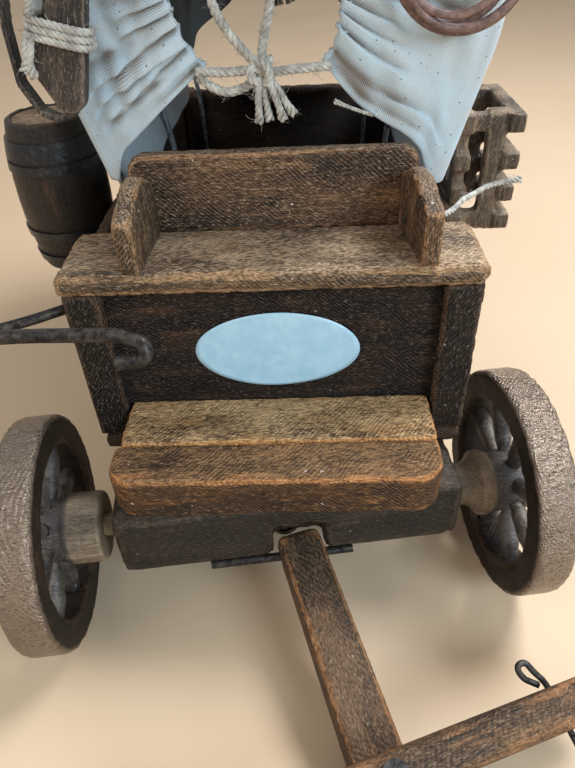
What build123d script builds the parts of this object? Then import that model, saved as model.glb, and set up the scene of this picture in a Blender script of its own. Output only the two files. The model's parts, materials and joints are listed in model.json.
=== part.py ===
from build123d import *
import os
from math import acos, asin, atan2, cos, degrees, hypot, radians, sin, tan

# Handmade wooden covered wagon for a shelf, about 140 mm wide over its wheels.
# Millimetres. X runs to the wagon's left side, +Y to its rear and Z up from the floor.
# All pieces are drawn from the front faces of the corner posts, at Y 0, and are moved to the origin
# at the end.

# Driving dimensions of the box.
BOX_WIDTH = 100.0
BOX_LENGTH = 188.0
WALL = 4.0
FLOOR_Z = (45.0, 50.0)
WALL_TOP = 95.7
POST_WIDTH = 9.5
POST_THICK = 4.0
HALF = BOX_WIDTH / 2
EASE = 0.6

# Seat, arms and foot board.
SEAT_DEPTH = (-2.1, 22.8)
SEAT_THICK = 5.5
SEAT_TOP = WALL_TOP + SEAT_THICK
SEAT_BACK_X = (-33.5, 35.6)
SEAT_BACK_Y = (20.0, 24.0)
SEAT_BACK_TOP = 120.5
FOOT_TOP = 60.0
FOOT_JOINT_Y = -13.5
FOOT_NOSE_Y = -27.0
FOOT_HALF = 40.2
FOOT_THICK = 10.0
NOSE_THICK = 12.0

# Running gear. The front axle stands turned, as the wagon was left.
STEER_AT_REST = 7.0
KING_Y = -6.0
KING_TOP = 54.0
AXLE_FORWARD = 4.0
FRONT_RADIUS = 32.0
REAR_RADIUS = 38.0
REAR_AXLE_Y = 152.0
WHEEL_INNER = 59.2
RIM_WIDTH = 10.5
HUB_WAIST = 8.8
BLOCK_HALF = 46.9
BLOCK_ASIDE = 1.1
BLOCK_DEPTH = 20.0
BLOCK_Z = (20.0, 43.0)
SPINDLE_RADIUS = 3.0
BORE_RADIUS = 3.06
SPOKES = 8

# Pole and cross bar. The pole is held askew on its pin and rests on the floor.
POLE_PIN = (3.1, -13.3, 20.9)
PIN_RADIUS = 1.2
POLE_ASKEW = 12.0
POLE_ABOVE_PIN = 7.9
POLE_THICK = 10.0
POLE_LENGTH = 67.2
POLE_TAIL = 4.4
BAR_AT = 57.2
BAR_HALF = 56.0
BAR_DEPTH = 9.4
BAR_HEIGHT = 9.6

# The pole slopes down from its pin until its lower front edge rests on the floor.
POLE_BELOW_PIN = POLE_THICK - POLE_ABOVE_PIN
FLOOR_CLEAR = 0.05
POLE_DROP = asin((POLE_PIN[2] - FLOOR_CLEAR) / hypot(POLE_LENGTH, POLE_BELOW_PIN))
POLE_SLOPE = degrees(POLE_DROP - atan2(POLE_BELOW_PIN, POLE_LENGTH))

# Cloth cover on wire hoops.
HOOP_WIRE = 2.0
HOOP_Y = (28.0, 103.0, 178.0)
COVER_Y = (24.6, 182.0)
CLOTH = 1.2
COVER_FOOT = (40.0, 99.0)
COVER_WIDE = 52.5
COVER_TOP = 203.0
GATHER_X = 13.4
GATHER_Z = 137.4
TWINE = 2.0
HANDLE_RADIUS = 1.3

# The whole wagon is moved by this much so that the middle of its foot print is the origin.
ORIGIN = (-0.3, 45.1, 0.0)
TO_ORIGIN = Pos(-ORIGIN[0], -ORIGIN[1], -ORIGIN[2])

os.makedirs("parts", exist_ok=True)


def save(node, *solids):
    """Write one named piece, made of one solid or of several that do not touch."""
    moved = [TO_ORIGIN * solid for body in solids for solid in body.solids()]
    shape = moved[0] if len(moved) == 1 else Compound(children=moved)
    export_step(shape, f"parts/{node}.step")


def board(x, y, z, ease=EASE):
    """A sawn board between two X, two Y and two Z values, with its edges eased."""
    box = Box(x[1] - x[0], y[1] - y[0], z[1] - z[0])
    box = Pos((x[0] + x[1]) / 2, (y[0] + y[1]) / 2, (z[0] + z[1]) / 2) * box
    return chamfer(box.edges(), ease) if ease else box


def rod(start, end, radius):
    """A round rod from one point to another."""
    line = Line(start, end)
    return extrude(Plane(origin=start, z_dir=line % 0) * Circle(radius), line.length)


def turned(outline, axis):
    """A piece turned on a lathe: the outline lists its distance along the axis and its radius."""
    start, end = outline[0][0], outline[-1][0]
    points = [(start, 0), *outline, (end, 0)]
    if axis == "X":
        face = make_face(Polyline(*points, close=True))
        return revolve(face, Axis.X, 360)
    face = Plane.XZ * make_face(Polyline(*[(r, along) for along, r in points], close=True))
    return revolve(face, Axis.Z, 360)


def bent_rod(points, radii, radius):
    """A wire or cord: straight runs joined by tangent arcs."""
    path = FilletPolyline(*points, radius=radii)
    return sweep(Plane(origin=path @ 0, z_dir=path % 0) * Circle(radius), path=path)


def run_radii(points, share=0.45):
    """The arc at each corner that uses the given share of its shorter run."""
    radii = []
    for before, corner, after in zip(points, points[1:], points[2:]):
        inward = Vector(corner) - Vector(before)
        outward = Vector(after) - Vector(corner)
        half_turn = radians(inward.get_angle(outward)) / 2
        radii.append(share * min(inward.length, outward.length) / tan(half_turn))
    return radii


# Box: floor, side walls, end panels and corner posts.
def box_of_boards():
    save("floor_board", board((-HALF, HALF), (0, BOX_LENGTH), FLOOR_Z))
    wall_z = (FLOOR_Z[1], WALL_TOP)
    seam_z = 73.0
    seam = 0.7
    for side, name in ((-1, "side_wall_right"), (1, "side_wall_left")):
        x = sorted((side * HALF, side * (HALF - WALL)))
        wall = board(x, (POST_THICK, BOX_LENGTH - POST_THICK), wall_z)
        score = Pos(side * HALF, BOX_LENGTH / 2, seam_z) * Rot(0, 45, 0) * Box(seam, BOX_LENGTH, seam)
        wall -= score
        if side < 0:
            wall -= handle_wire()
        save(name, wall)
    inner = HALF - WALL
    for name, near, face in (
        ("front_panel", POST_THICK, POST_THICK),
        ("tail_panel", BOX_LENGTH - 2 * POST_THICK, BOX_LENGTH - POST_THICK),
    ):
        panel = board((-inner, inner), (near, near + WALL), wall_z)
        score = Pos(0, face, seam_z - 1) * Rot(45, 0, 0) * Box(BOX_WIDTH, seam, seam)
        save(name, panel - score)
    posts = []
    for side in (-1, 1):
        x = sorted((side * HALF, side * (HALF - POST_WIDTH)))
        for y in ((0, POST_THICK), (BOX_LENGTH - POST_THICK, BOX_LENGTH)):
            posts.append(board(x, y, wall_z))
    save("corner_posts", *posts)


# Seat: plank, back with rounded top corners, and two arms cut with a slant at the front.
def seat():
    save("seat_board", board((-HALF, HALF), SEAT_DEPTH, (WALL_TOP, SEAT_TOP), 1.0))
    low, high = SEAT_BACK_X
    height = SEAT_BACK_TOP - SEAT_TOP
    face = Pos((low + high) / 2, SEAT_TOP + height / 2) * Rectangle(high - low, height)
    face = fillet(face.vertices().group_by(Axis.Y)[-1], 4.0)
    back = extrude(Plane.XZ * face, -(SEAT_BACK_Y[1] - SEAT_BACK_Y[0]))
    save("seat_back", Pos(0, SEAT_BACK_Y[0], 0) * back)
    arm_front = -2.2
    arm_thick = 4.6
    back_y = SEAT_BACK_Y[0]
    outline = Polyline(
        (arm_front, SEAT_TOP),
        (arm_front, SEAT_TOP + 12.6),
        (8.0, SEAT_TOP + 17.0),
        (13.0, SEAT_TOP + 17.4),
        (back_y, SEAT_TOP + 13.5),
        (back_y, SEAT_TOP),
        close=True,
    )
    cheek = extrude(Plane.YZ * make_face(outline), -arm_thick)
    cheek = chamfer(cheek.faces().sort_by(Axis.X)[-1].edges(), 0.5)
    cheek = Pos(0, -back_y, 0) * cheek
    # name, place of the outer rear corner, turn of the arm outwards at its front, side
    for name, corner_x, splay, side in (("seat_arm_right", -32.2, 3.5, -1), ("seat_arm_left", 35.5, 7.0, 1)):
        arm = cheek if side > 0 else mirror(cheek, Plane.YZ)
        save(name, Pos(corner_x, back_y, 0) * Rot(0, 0, side * splay) * arm)


# Foot board: two planks in front of the box, the front one thicker, with rounded corners.
def foot_board():
    rear = board((-FOOT_HALF, FOOT_HALF), (FOOT_JOINT_Y, POST_THICK), (FOOT_TOP - FOOT_THICK, FOOT_TOP), 0.5)
    rear -= Pos(0, KING_Y, 0) * extrude(Circle(2.0), KING_TOP)
    save("foot_board_rear", rear)
    depth = FOOT_JOINT_Y - FOOT_NOSE_Y
    plan = Pos(-0.5, FOOT_JOINT_Y - depth / 2) * Rectangle(2 * FOOT_HALF + 1, depth)
    plan = fillet(plan.vertices().group_by(Axis.Y)[0], 7.0)
    nose = extrude(Pos(0, 0, FOOT_TOP - NOSE_THICK) * plan, NOSE_THICK)
    nose = fillet(nose.faces().sort_by(Axis.Z)[0].edges() + nose.faces().sort_by(Axis.Z)[-1].edges(), 0.8)
    save("foot_board_front", nose)


# Bolster under the foot board and the rear axle block under the floor.
def bolsters():
    bolster_z = (BLOCK_Z[1] + 0.3, FOOT_TOP - FOOT_THICK)
    bolster = board((-36, 36), (FOOT_JOINT_Y, 0), bolster_z)
    pin_hole = Pos(0, KING_Y, 0) * extrude(Circle(2.0), KING_TOP)
    save("front_bolster", bolster - pin_hole)
    rear_z = (REAR_RADIUS - 11, FLOOR_Z[0])
    rear = board((-BLOCK_HALF, BLOCK_HALF), (REAR_AXLE_Y - 10, REAR_AXLE_Y + 10), rear_z, 2.5)
    for side in (-1, 1):
        rear -= rod((side * 30, REAR_AXLE_Y, REAR_RADIUS), (side * 60, REAR_AXLE_Y, REAR_RADIUS), SPINDLE_RADIUS)
    save("rear_axle_block", rear)


def spindle():
    """A turned spindle along +X with a round head outside the wheel."""
    length = WHEEL_INNER + RIM_WIDTH + 5.6
    stem = rod((30, 0, 0), (length, 0, 0), SPINDLE_RADIUS)
    head = turned([(length, 0.1), (length, 5.0), (length + 1.0, 4.6), (length + 2.2, 2.6)], "X")
    return stem + head


# Front axle: block with a notch for the pole, spindles, king pin and hinge pin.
def front_axle():
    face = Pos(-AXLE_FORWARD, (BLOCK_Z[0] + BLOCK_Z[1]) / 2) * Rectangle(BLOCK_DEPTH, BLOCK_Z[1] - BLOCK_Z[0])
    face = fillet(face.vertices().group_by(Axis.Y)[0], 5.0)
    face = fillet(face.vertices().group_by(Axis.Y)[-1], 2.0)
    block = Pos(BLOCK_ASIDE, 0, 0) * extrude(Plane.YZ * face, BLOCK_HALF, both=True)
    ends = block.faces().sort_by(Axis.X)
    block = fillet(ends[0].edges() + ends[-1].edges(), 1.8)
    notch_half = 7.2
    notch_back = -AXLE_FORWARD - 0.2
    notch_roof = 34.0
    notch = Box(2 * notch_half, 20, 40, align=(Align.CENTER, Align.MAX, Align.MAX))
    block -= Pos(POLE_PIN[0], notch_back, notch_roof) * notch
    pin_from, pin_to = (-22, POLE_PIN[1], POLE_PIN[2]), (18, POLE_PIN[1], POLE_PIN[2])
    block -= rod(pin_from, pin_to, PIN_RADIUS)
    block -= Pos(0, 0, BLOCK_Z[0] - 1) * extrude(Circle(2.05), 40)
    spindles = [Pos(0, -AXLE_FORWARD, FRONT_RADIUS) * spindle()]
    spindles.append(Pos(0, -AXLE_FORWARD, FRONT_RADIUS) * Rot(0, 0, 180) * spindle())
    for one in spindles:
        block -= one
    save("front_axle_block", turned_with_axle(block))
    save("front_spindles", *[turned_with_axle(one) for one in spindles])
    save("pole_hinge_pin", turned_with_axle(rod(pin_from, pin_to, PIN_RADIUS)))
    king = extrude(Pos(0, KING_Y, BLOCK_Z[0] - 1.7) * Circle(2.0), KING_TOP - BLOCK_Z[0] + 1.7)
    king += extrude(Pos(0, KING_Y, BLOCK_Z[0] - 1.7) * Circle(4.0), 1.4)
    save("king_pin", king)


def turned_with_axle(shape):
    """Set a piece of the front axle at the king pin and turn it as the axle stands."""
    return Pos(0, KING_Y, 0) * Rot(0, 0, STEER_AT_REST) * shape


# Wheels: ring with eight sockets, turned spokes and a turned hub, all along +X.
# The hubs are turned by eye: most have a dished flange inside the wheel, one has a plain drum there.
FLANGED = [(49.0, 5.4), (49.0, 5.9), (51.4, 5.9), (53.6, 7.4), (54.8, 9.2), (56.9, 9.5), (57.6, 8.6)]
DRUM = [(49.6, 5.4), (49.6, 9.2), (50.2, 9.7), (54.4, 9.7), (54.8, 9.3), (55.2, 9.7), (59.2, 9.6)]


def wheel(radius, rim_depth, inner_end, phase):
    inner, outer = WHEEL_INNER, WHEEL_INNER + RIM_WIDTH
    section = Pos((inner + outer) / 2, radius - rim_depth / 2) * Rectangle(RIM_WIDTH, rim_depth)
    section = fillet(section.vertices(), 1.0)
    rim = revolve(section, Axis.X, 360)
    outer_end = [(60.0, HUB_WAIST), (outer - 1.4, HUB_WAIST), (outer + 0.4, 8.0), (outer + 4.8, 6.6)]
    hub = turned(inner_end + outer_end, "X") - rod((40, 0, 0), (90, 0, 0), BORE_RADIUS)
    middle = (inner + outer) / 2
    foot, neck = HUB_WAIST - 1.6, radius - rim_depth
    # distance from the hub's middle and radius along one spoke
    profile = [(foot, 1.8), (9.4, 1.8), (11.0, 2.3), (neck - 5, 2.8), (neck - 0.6, 2.2), (neck + 2.2, 2.1)]
    one = turned(profile, "Z")
    spokes = [Pos(middle, 0, 0) * Rot(phase + 360 / SPOKES * i, 0, 0) * one for i in range(SPOKES)]
    for spoke in spokes:
        rim -= spoke
        hub -= spoke
    return rim, spokes, hub


def wheels():
    """Four wheels, each ring, spokes and hub a piece of its own."""
    rear_place = Pos(0, REAR_AXLE_Y, REAR_RADIUS)
    front_place = Pos(0, KING_Y, 0) * Rot(0, 0, STEER_AT_REST) * Pos(0, -AXLE_FORWARD, FRONT_RADIUS)
    # name, place, radius, ring depth, inner end of the hub, turn of the spokes
    table = (
        ("front_left", front_place, FRONT_RADIUS, 8.5, FLANGED, 12.0),
        ("front_right", front_place * Rot(0, 0, 180), FRONT_RADIUS, 8.5, DRUM, 5.0),
        ("rear_left", rear_place, REAR_RADIUS, 9.0, FLANGED, 20.0),
        ("rear_right", rear_place * Rot(0, 0, 180), REAR_RADIUS, 9.0, FLANGED, 33.0),
    )
    for name, place, radius, depth, inner_end, phase in table:
        rim, spokes, hub = wheel(radius, depth, inner_end, phase)
        save(f"{name}_rim", place * rim)
        save(f"{name}_spokes", *[place * spoke for spoke in spokes])
        save(f"{name}_hub", place * hub)
    rear = [rear_place * spindle(), rear_place * Rot(0, 0, 180) * spindle()]
    save("rear_spindles", *rear)


# Pole, and the cross bar that swings on a peg near the pole's front end.
def pole_and_bar():
    to_pole = Pos(*POLE_PIN) * Rot(0, 0, POLE_ASKEW) * Rot(POLE_SLOPE, 0, 0)
    rear_half, front_half = 5.8, 6.7
    top = POLE_ABOVE_PIN
    plan = Polyline(
        (-rear_half, POLE_TAIL),
        (rear_half, POLE_TAIL),
        (front_half, -POLE_LENGTH),
        (-front_half, -POLE_LENGTH),
        close=True,
    )
    pole = extrude(Pos(0, 0, top - POLE_THICK) * make_face(plan), POLE_THICK)
    tail = pole.edges().filter_by(Axis.X).group_by(Axis.Y)[-1]
    pole = fillet(tail, 3.0)
    pole = chamfer(pole.edges().group_by(Axis.Z)[-1].filter_by(lambda e: e.length > 40), 0.7)
    peg_place = Pos(0, -BAR_AT, top)
    peg = peg_place * extrude(Pos(0, 0, -7) * Circle(1.6), 7 + BAR_HEIGHT + 0.3)
    peg += peg_place * extrude(Pos(0, 0, BAR_HEIGHT + 0.3) * Circle(3.0), 1.2)
    pole -= peg
    hole = Pos(*POLE_PIN) * Rot(0, 90, 0) * extrude(Circle(PIN_RADIUS + 0.06), 20, both=True)
    pole = turned_with_axle(to_pole * pole - hole)
    save("pole", pole)
    save("cross_bar_peg", turned_with_axle(to_pole * peg))
    end_height = 6.4
    upper = BAR_HEIGHT
    outline = Polyline(
        (-BAR_HALF, 0.25),
        (BAR_HALF, 0.25),
        (BAR_HALF, end_height),
        (BAR_HALF - 14, upper),
        (-BAR_HALF + 14, upper),
        (-BAR_HALF, end_height),
        close=True,
    )
    bar = extrude(Plane.XZ * make_face(outline), BAR_DEPTH / 2, both=True)
    bar = fillet(bar.edges().filter_by(Axis.X).group_by(Axis.Z)[-1], 2.4)
    ends = bar.edges().filter_by(Axis.Z)
    bar = fillet(ends, 3.0)
    bar -= extrude(Circle(1.66), 20)
    wires = []
    for side in (-1, 1):
        wires.append(bar_wire(side))
    bar_place = to_pole * peg_place
    for wire in wires:
        bar -= wire
    save("cross_bar", turned_with_axle(bar_place * bar))
    save("cross_bar_wires", *[turned_with_axle(bar_place * wire) for wire in wires])


def bar_wire(side):
    """Wire through the cross bar: an eye behind it and an open hook in front of it."""
    wire = 0.75
    x = side * 43.0
    z = 4.6
    back = BAR_DEPTH / 2
    eye = [
        (x, -back - 1.0, z),
        (x, back + 1.4, z),
        (x - 1.8, back + 4.2, z + 0.6),
        (x - 2.6, back + 6.8, z + 0.8),
        (x - 5.3, back + 6.4, z + 0.8),
        (x - 4.9, back + 3.6, z + 0.4),
        (x - 1.8, back + 1.2, z - 0.1),
    ]
    hook = [
        (x, -back - 1.0, z),
        (x + 0.4, -back - 4.0, z - 0.8),
        (x + 1.2, -back - 8.2, z - 1.0),
        (x + 4.4, -back - 8.8, z - 0.4),
        (x + 5.0, -back - 5.4, z + 0.2),
    ]
    rear = bent_rod(eye, run_radii(eye), wire)
    front = bent_rod(hook, run_radii(hook), wire)
    return rear + front


# Cover: three wire hoops and a cloth tunnel with a gathered panel at each end.
def arch(inset):
    """Foot, start of the crown and centre height of the horseshoe outline on the left side."""
    radius = COVER_WIDE - inset
    centre_z = COVER_TOP - COVER_WIDE
    foot = (COVER_FOOT[0] - inset, COVER_FOOT[1])
    reach = hypot(foot[0], foot[1] - centre_z)
    turn = atan2(foot[1] - centre_z, foot[0]) + acos(radius / reach)
    shoulder = (radius * cos(turn), centre_z + radius * sin(turn))
    return foot, shoulder, (0, centre_z + radius)


def arch_face(inset):
    """The face inside the horseshoe outline."""
    foot, shoulder, top = arch(inset)
    legs = Polyline(mirrored(shoulder), mirrored(foot), foot, shoulder)
    crown = ThreePointArc(shoulder, top, mirrored(shoulder))
    return make_face(edges_of(legs, crown))


def mirrored(point):
    return (-point[0], point[1])


def edges_of(*lines):
    return [edge for line in lines for edge in line.edges()]


def cover():
    foot, shoulder, top = arch(CLOTH + HOOP_WIRE / 2 + 0.4)
    heel = (foot[0] - 1.5, FLOOR_Z[1] + 0.1)
    leg = FilletPolyline(heel, foot, shoulder, radius=[30.0])
    other_leg = FilletPolyline(mirrored(shoulder), mirrored(foot), mirrored(heel), radius=[30.0])
    crown = ThreePointArc(shoulder, top, mirrored(shoulder))
    path = Plane.XZ * Wire(edges_of(leg, crown, other_leg))
    hoop = sweep(Plane(origin=path @ 0, z_dir=path % 0) * Circle(HOOP_WIRE / 2), path=path)
    save("cover_hoops", *[Pos(0, y, 0) * hoop for y in HOOP_Y])
    outer = arch_face(0)
    length = COVER_Y[1] - COVER_Y[0]
    tunnel = extrude(Plane.XZ * (outer - arch_face(CLOTH)), -length)
    tunnel -= Pos(0, length / 2, COVER_FOOT[1]) * Box(2 * (COVER_FOOT[0] - CLOTH), 2 * length, 4 * CLOTH)
    end = extrude(Plane.XZ * (outer - gathered_opening()), -CLOTH)
    cloth = tunnel + end + Pos(0, length - CLOTH, 0) * end
    save("cover_cloth", Pos(0, COVER_Y[0], 0) * cloth)


def gathered_opening():
    """The opening of an end panel: a round mouth over a tied waist, and the gap between two flaps."""
    foot_x, foot_z = COVER_FOOT
    mouth_top = 181.0
    mouth_half = 22.0
    lower = Polyline(
        (-GATHER_X, GATHER_Z),
        (-34.0, 120.5),
        (-37.6, 112.0),
        (-foot_x - 6, foot_z - 1),
        (foot_x + 6, foot_z - 1),
        (37.6, 112.0),
        (34.0, 120.5),
        (GATHER_X, GATHER_Z),
        close=True,
    )
    side = ThreePointArc((-GATHER_X, GATHER_Z), (-mouth_half, 160), (0, mouth_top))
    other = ThreePointArc((0, mouth_top), (mouth_half, 160), (GATHER_X, GATHER_Z))
    sill = Line((GATHER_X, GATHER_Z), (-GATHER_X, GATHER_Z))
    return make_face(lower) + make_face(Wire(edges_of(side, other, sill)))


# Strings, the coiled line, barrel, crate, ox yoke, wire handle and the blank oval label.
def drawstrings():
    """The string that draws each end of the cover in, with its knot and four cut ends."""
    radius = TWINE / 2
    for name, y, sign in (("drawstring_front", COVER_Y[0] - 1.3, -1), ("drawstring_rear", COVER_Y[1] + 1.3, 1)):
        line = rod((-GATHER_X - 1, y, GATHER_Z - 0.2), (GATHER_X + 1, y, GATHER_Z - 0.2), radius)
        knot = Pos(0.5, y + sign * 0.8, GATHER_Z - 1.2) * Sphere(3.1)
        string = line + knot
        # sideways place and drop of each cut end
        for x, drop in ((-1.5, 10.5), (0.5, 10.6), (4.0, 10.2), (6.2, 9.6)):
            string += rod((0.5, y + sign, GATHER_Z - 1.6), (x, y + sign * 2.2, GATHER_Z - drop), radius)
        save(name, string)


def bow():
    """The loop of the front string's bow, which stands up from the knot and leans to the right wall."""
    front = COVER_Y[0] - 1.3
    points = [
        (-1.6, front - 1.6, GATHER_Z + 1.6),
        (-4.9, front - 1.9, 142.6),
        (-8.4, front - 1.9, 147.2),
        (-10.4, front - 1.2, 153.0),
        (-10.4, front - 0.3, 160.2),
        (-6.4, front + 0.5, 164.2),
        (-0.8, front + 0.9, 164.2),
        (3.2, front + 0.9, 160.2),
        (3.2, front + 0.8, 154.4),
        (2.0, front + 0.6, 149.0),
        (0.2, front + 0.4, 142.4),
    ]
    radii = run_radii(points)
    print("bow radii", [round(radius, 1) for radius in radii])
    save("drawstring_bow", bent_rod(points, radii, TWINE / 2))


def barrel():
    low, high = 77.0, 121.0
    end_radius, bilge = 10.8, 13.4
    middle = (low + high) / 2
    band = 0.6
    place = Pos(-HALF - bilge - band - 0.05, 58.0, 0)
    cask = barrel_of(0.0, low, high, end_radius, bilge)
    core = barrel_of(0.45, low - 1, high + 1, end_radius, bilge)
    staves = 14
    score_height = high - low + 4
    scores = [
        Pos(0, 0, middle) * Rot(0, 0, 360 / staves * i) * Pos(bilge, 0, 0) * Box(9, 0.4, score_height)
        for i in range(staves)
    ]
    for score in scores:
        cask -= score - core
    well = Pos(0, 0, high - 1.4) * extrude(Circle(end_radius - 1.3), 4)
    save("barrel", place * (cask - well))
    lid = Pos(0, 0, high - 1.4) * extrude(Circle(end_radius - 1.35), 0.8)
    save("barrel_lid", place * lid)
    bands = []
    # lower edge and height of each hoop
    for foot, height in ((79.6, 2.6), (88.0, 2.4), (107.6, 2.4), (111.0, 5.0)):
        ring = barrel_of(-band, foot, foot + height, end_radius, bilge, (low, high))
        ring -= barrel_of(-0.03, foot - 1, foot + height + 1, end_radius, bilge, (low, high))
        bands.append(place * ring)
    save("barrel_hoops", *bands)


def barrel_of(inset, low, high, end_radius, bilge, span=None):
    """A barrel's body, thinner by an inset, between two heights of the whole barrel's curve."""
    span = span or (low, high)
    middle = (span[0] + span[1]) / 2
    side = ThreePointArc(
        (end_radius - inset, span[0]), (bilge - inset, middle), (end_radius - inset, span[1])
    )
    outline = edges_of(side, Line(side @ 1, (0, span[1])), Line((0, span[1]), (0, span[0])), Line((0, span[0]), side @ 0))
    body = revolve(Plane.XZ * make_face(Wire(outline)), Axis.Z, 360)
    if (low, high) == span:
        return body
    slab = Pos(0, 0, (low + high) / 2) * Box(60, 60, high - low)
    return body & slab


def crate():
    """A slatted crate glued to the left wall: side rails, upright slats and cross rails."""
    x = (HALF + 0.05, HALF + 18.0)
    y = (48.0, 76.0)
    stick = 4.4
    rail_height = 5.0
    rail_z = (86.6, 94.6, 104.0, 114.0)
    body = None
    for rail in rail_z:
        for rail_x in ((x[0], x[0] + stick), (x[1] - stick, x[1])):
            piece = board(rail_x, (y[0] - 1.5, y[1] + 1.5), (rail, rail + rail_height), 0)
            body = piece if body is None else body + piece
    for near, far in ((y[0], y[0] + stick), (y[1] - stick, y[1])):
        for slat_x in ((x[0], x[0] + 3.6), (x[0] + 8.5, x[1] - stick)):
            body += board(slat_x, (near, far), (85.6, 119.6), 0)
        for cross_z in (rail_z[0], rail_z[-1]):
            body += board((x[0] + 1, x[1] - 1), (near + 0.6, far), (cross_z, cross_z + rail_height - 0.4), 0)
    save("crate", body)


def crate_string():
    points = [(49.0, 30.0, 103.0), (54.0, 38.0, 101.0), (60.0, 45.0, 100.8), (68.8, 45.6, 101.8)]
    save("crate_string", bent_rod(points, run_radii(points), 0.8))


def yoke():
    """An ox yoke tied upright at the front corner of the cover, its bow bent round its lower end."""
    length = 64.0
    thick = 4.6
    shoulder = (12.4, 7.6)
    scoop = (8.4, 22.0)
    waist = (12.6, length / 2)
    neck = (10.9, 10.6)
    tip = ((0.0, 2.6), (1.4, -0.6), (5.2, -1.0))
    lower = Line(tip[2], shoulder), Line(shoulder, neck), ThreePointArc(neck, scoop, waist)
    upper = [mirror(line, Plane.XZ.offset(-length / 2)) for line in lower]
    rounding = ThreePointArc(*tip)
    far_rounding = mirror(rounding, Plane.XZ.offset(-length / 2))
    straight = Line(rounding @ 0, far_rounding @ 0)
    face = make_face(Wire(edges_of(rounding, *lower, *upper, far_rounding, straight)))
    beam = extrude(face, thick)
    place = Pos(-38.9, 16.0, 131.9) * Rot(0, 13.7, 0) * Rot(90, 0, 0) * Rot(0, 180, 0)
    save("ox_yoke", place * beam)
    strap_path = Polyline((12.0, 44.0), (17.0, 31.0), (16.2, 14.0), (13.9, 3.0), (9.4, -2.4), (5.6, -3.2), (2.4, -1.2))
    strap = make_face(offset(strap_path, 0.6, side=Side.BOTH).edges())
    save("ox_bow", place * (Pos(0, 0, 0.3) * extrude(strap, 4.0) - beam))
    tie = Pos(0, 14.0, thick / 2) * Box(28.0, 3.6, thick + 1.8, align=(Align.MIN, Align.CENTER, Align.CENTER))
    tie = tie & (Pos(-0.9, 12.0, -0.9) * Box(12.9, 4.0, thick + 1.8, align=Align.MIN))
    save("yoke_tie", place * (tie - beam))


def lariat():
    """A cord wound in five turns and hung on the right front of the cover."""
    save("lariat_coil", Pos(39.0, 17.0, 157.0) * Rot(90, 0, 0) * Torus(11.9, 2.9))


def handle_wire():
    """Bent wire handle that leaves the right wall, turns back across the front and ends in a hook."""
    points = [
        (-HALF + 2.0, 9.0, 88.2),
        (-60.0, 0.5, 88.4),
        (-69.0, -8.0, 90.5),
        (-72.0, -22.0, 97.0),
        (-64.0, -33.0, 105.0),
        (-46.0, -36.5, 109.4),
        (-25.0, -36.3, 108.8),
        (-20.2, -37.4, 107.6),
        (-20.2, -38.6, 105.0),
        (-25.5, -38.9, 104.6),
    ]
    return bent_rod(points, run_radii(points), HANDLE_RADIUS)


def label():
    face = Pos(0.5, 75.8) * Ellipse(21.0, 11.2)
    save("blank_label", Pos(0, POST_THICK - 0.3, 0) * extrude(Plane.XZ * face, -0.3))


box_of_boards()
seat()
foot_board()
bolsters()
front_axle()
wheels()
pole_and_bar()
cover()
drawstrings()
bow()
barrel()
crate()
crate_string()
yoke()
lariat()
save("brake_handle", handle_wire())
label()
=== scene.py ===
import json
import math

import bmesh
import bpy
import numpy as np
from mathutils import Matrix, Vector


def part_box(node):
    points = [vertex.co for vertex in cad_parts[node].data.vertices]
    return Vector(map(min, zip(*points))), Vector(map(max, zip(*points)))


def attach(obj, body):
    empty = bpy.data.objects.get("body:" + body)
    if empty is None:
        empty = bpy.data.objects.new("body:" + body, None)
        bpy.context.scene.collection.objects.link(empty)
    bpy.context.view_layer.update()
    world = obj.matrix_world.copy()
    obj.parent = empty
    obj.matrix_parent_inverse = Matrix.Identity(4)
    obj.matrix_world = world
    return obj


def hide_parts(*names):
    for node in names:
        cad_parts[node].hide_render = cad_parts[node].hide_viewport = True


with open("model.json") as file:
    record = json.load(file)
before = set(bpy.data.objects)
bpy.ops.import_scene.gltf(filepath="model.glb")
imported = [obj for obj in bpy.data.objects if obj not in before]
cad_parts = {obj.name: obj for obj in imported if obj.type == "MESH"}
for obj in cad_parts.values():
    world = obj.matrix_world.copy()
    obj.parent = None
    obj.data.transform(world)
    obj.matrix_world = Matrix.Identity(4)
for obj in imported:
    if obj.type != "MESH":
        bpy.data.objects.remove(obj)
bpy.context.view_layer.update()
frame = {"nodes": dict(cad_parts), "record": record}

# The wagon stands on a plain cream floor in soft daylight, seen from in front and above.
# Places are given in millimetres from the front faces of the corner posts, midway between the walls,
# with X to the wagon's left side, Y to its rear and Z up from the floor.
MM = 0.001
POST_LOW, POST_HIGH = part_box("corner_posts")
DATUM = Vector(((POST_LOW.x + POST_HIGH.x) / 2, POST_LOW.y, 0.0))
EYE = (7.85, -126.9, 170.0)
EYE_PITCH, EYE_YAW, EYE_ROLL = math.radians(38.9), math.radians(-2.3), math.radians(2.93)
FOCAL_PIXELS, FRAME_HEIGHT, FILM_HEIGHT = 629.3, 768, 36.0
LIGHT_SKY, SEEN_SKY = ((1.0, 0.97, 0.93, 1.0), 0.45), ((0.93, 0.94, 0.95, 1.0), 0.85)
SKY_IN_GLOSS = 0.35
LAMP_TARGET = Vector((0.0, -0.02, 0.07))
LAMPS = (  # name, place and width in metres, watts, tint
    ("window", (0.38, 0.14, 0.66), 0.30, 5.9, (0.98, 0.98, 1.0)),
    ("pane", (0.34, -0.44, 0.34), 0.26, 2.3, (0.70, 0.87, 1.0)),
    ("room", (-0.45, -0.42, 0.50), 0.50, 1.6, (1.0, 0.93, 0.84)),
)
FLOOR_REACH, FLOOR_TONES = 1.6, ((0.60, 0.45, 0.30, 1.0), (0.68, 0.53, 0.37, 1.0))


def at(x, y, z):
    return DATUM + Vector((x, y, z)) * MM


def set_down(name, data):
    """An object made of some data, put into the scene."""
    made = bpy.data.objects.new(name, data)
    bpy.context.scene.collection.objects.link(made)
    return made


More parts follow.
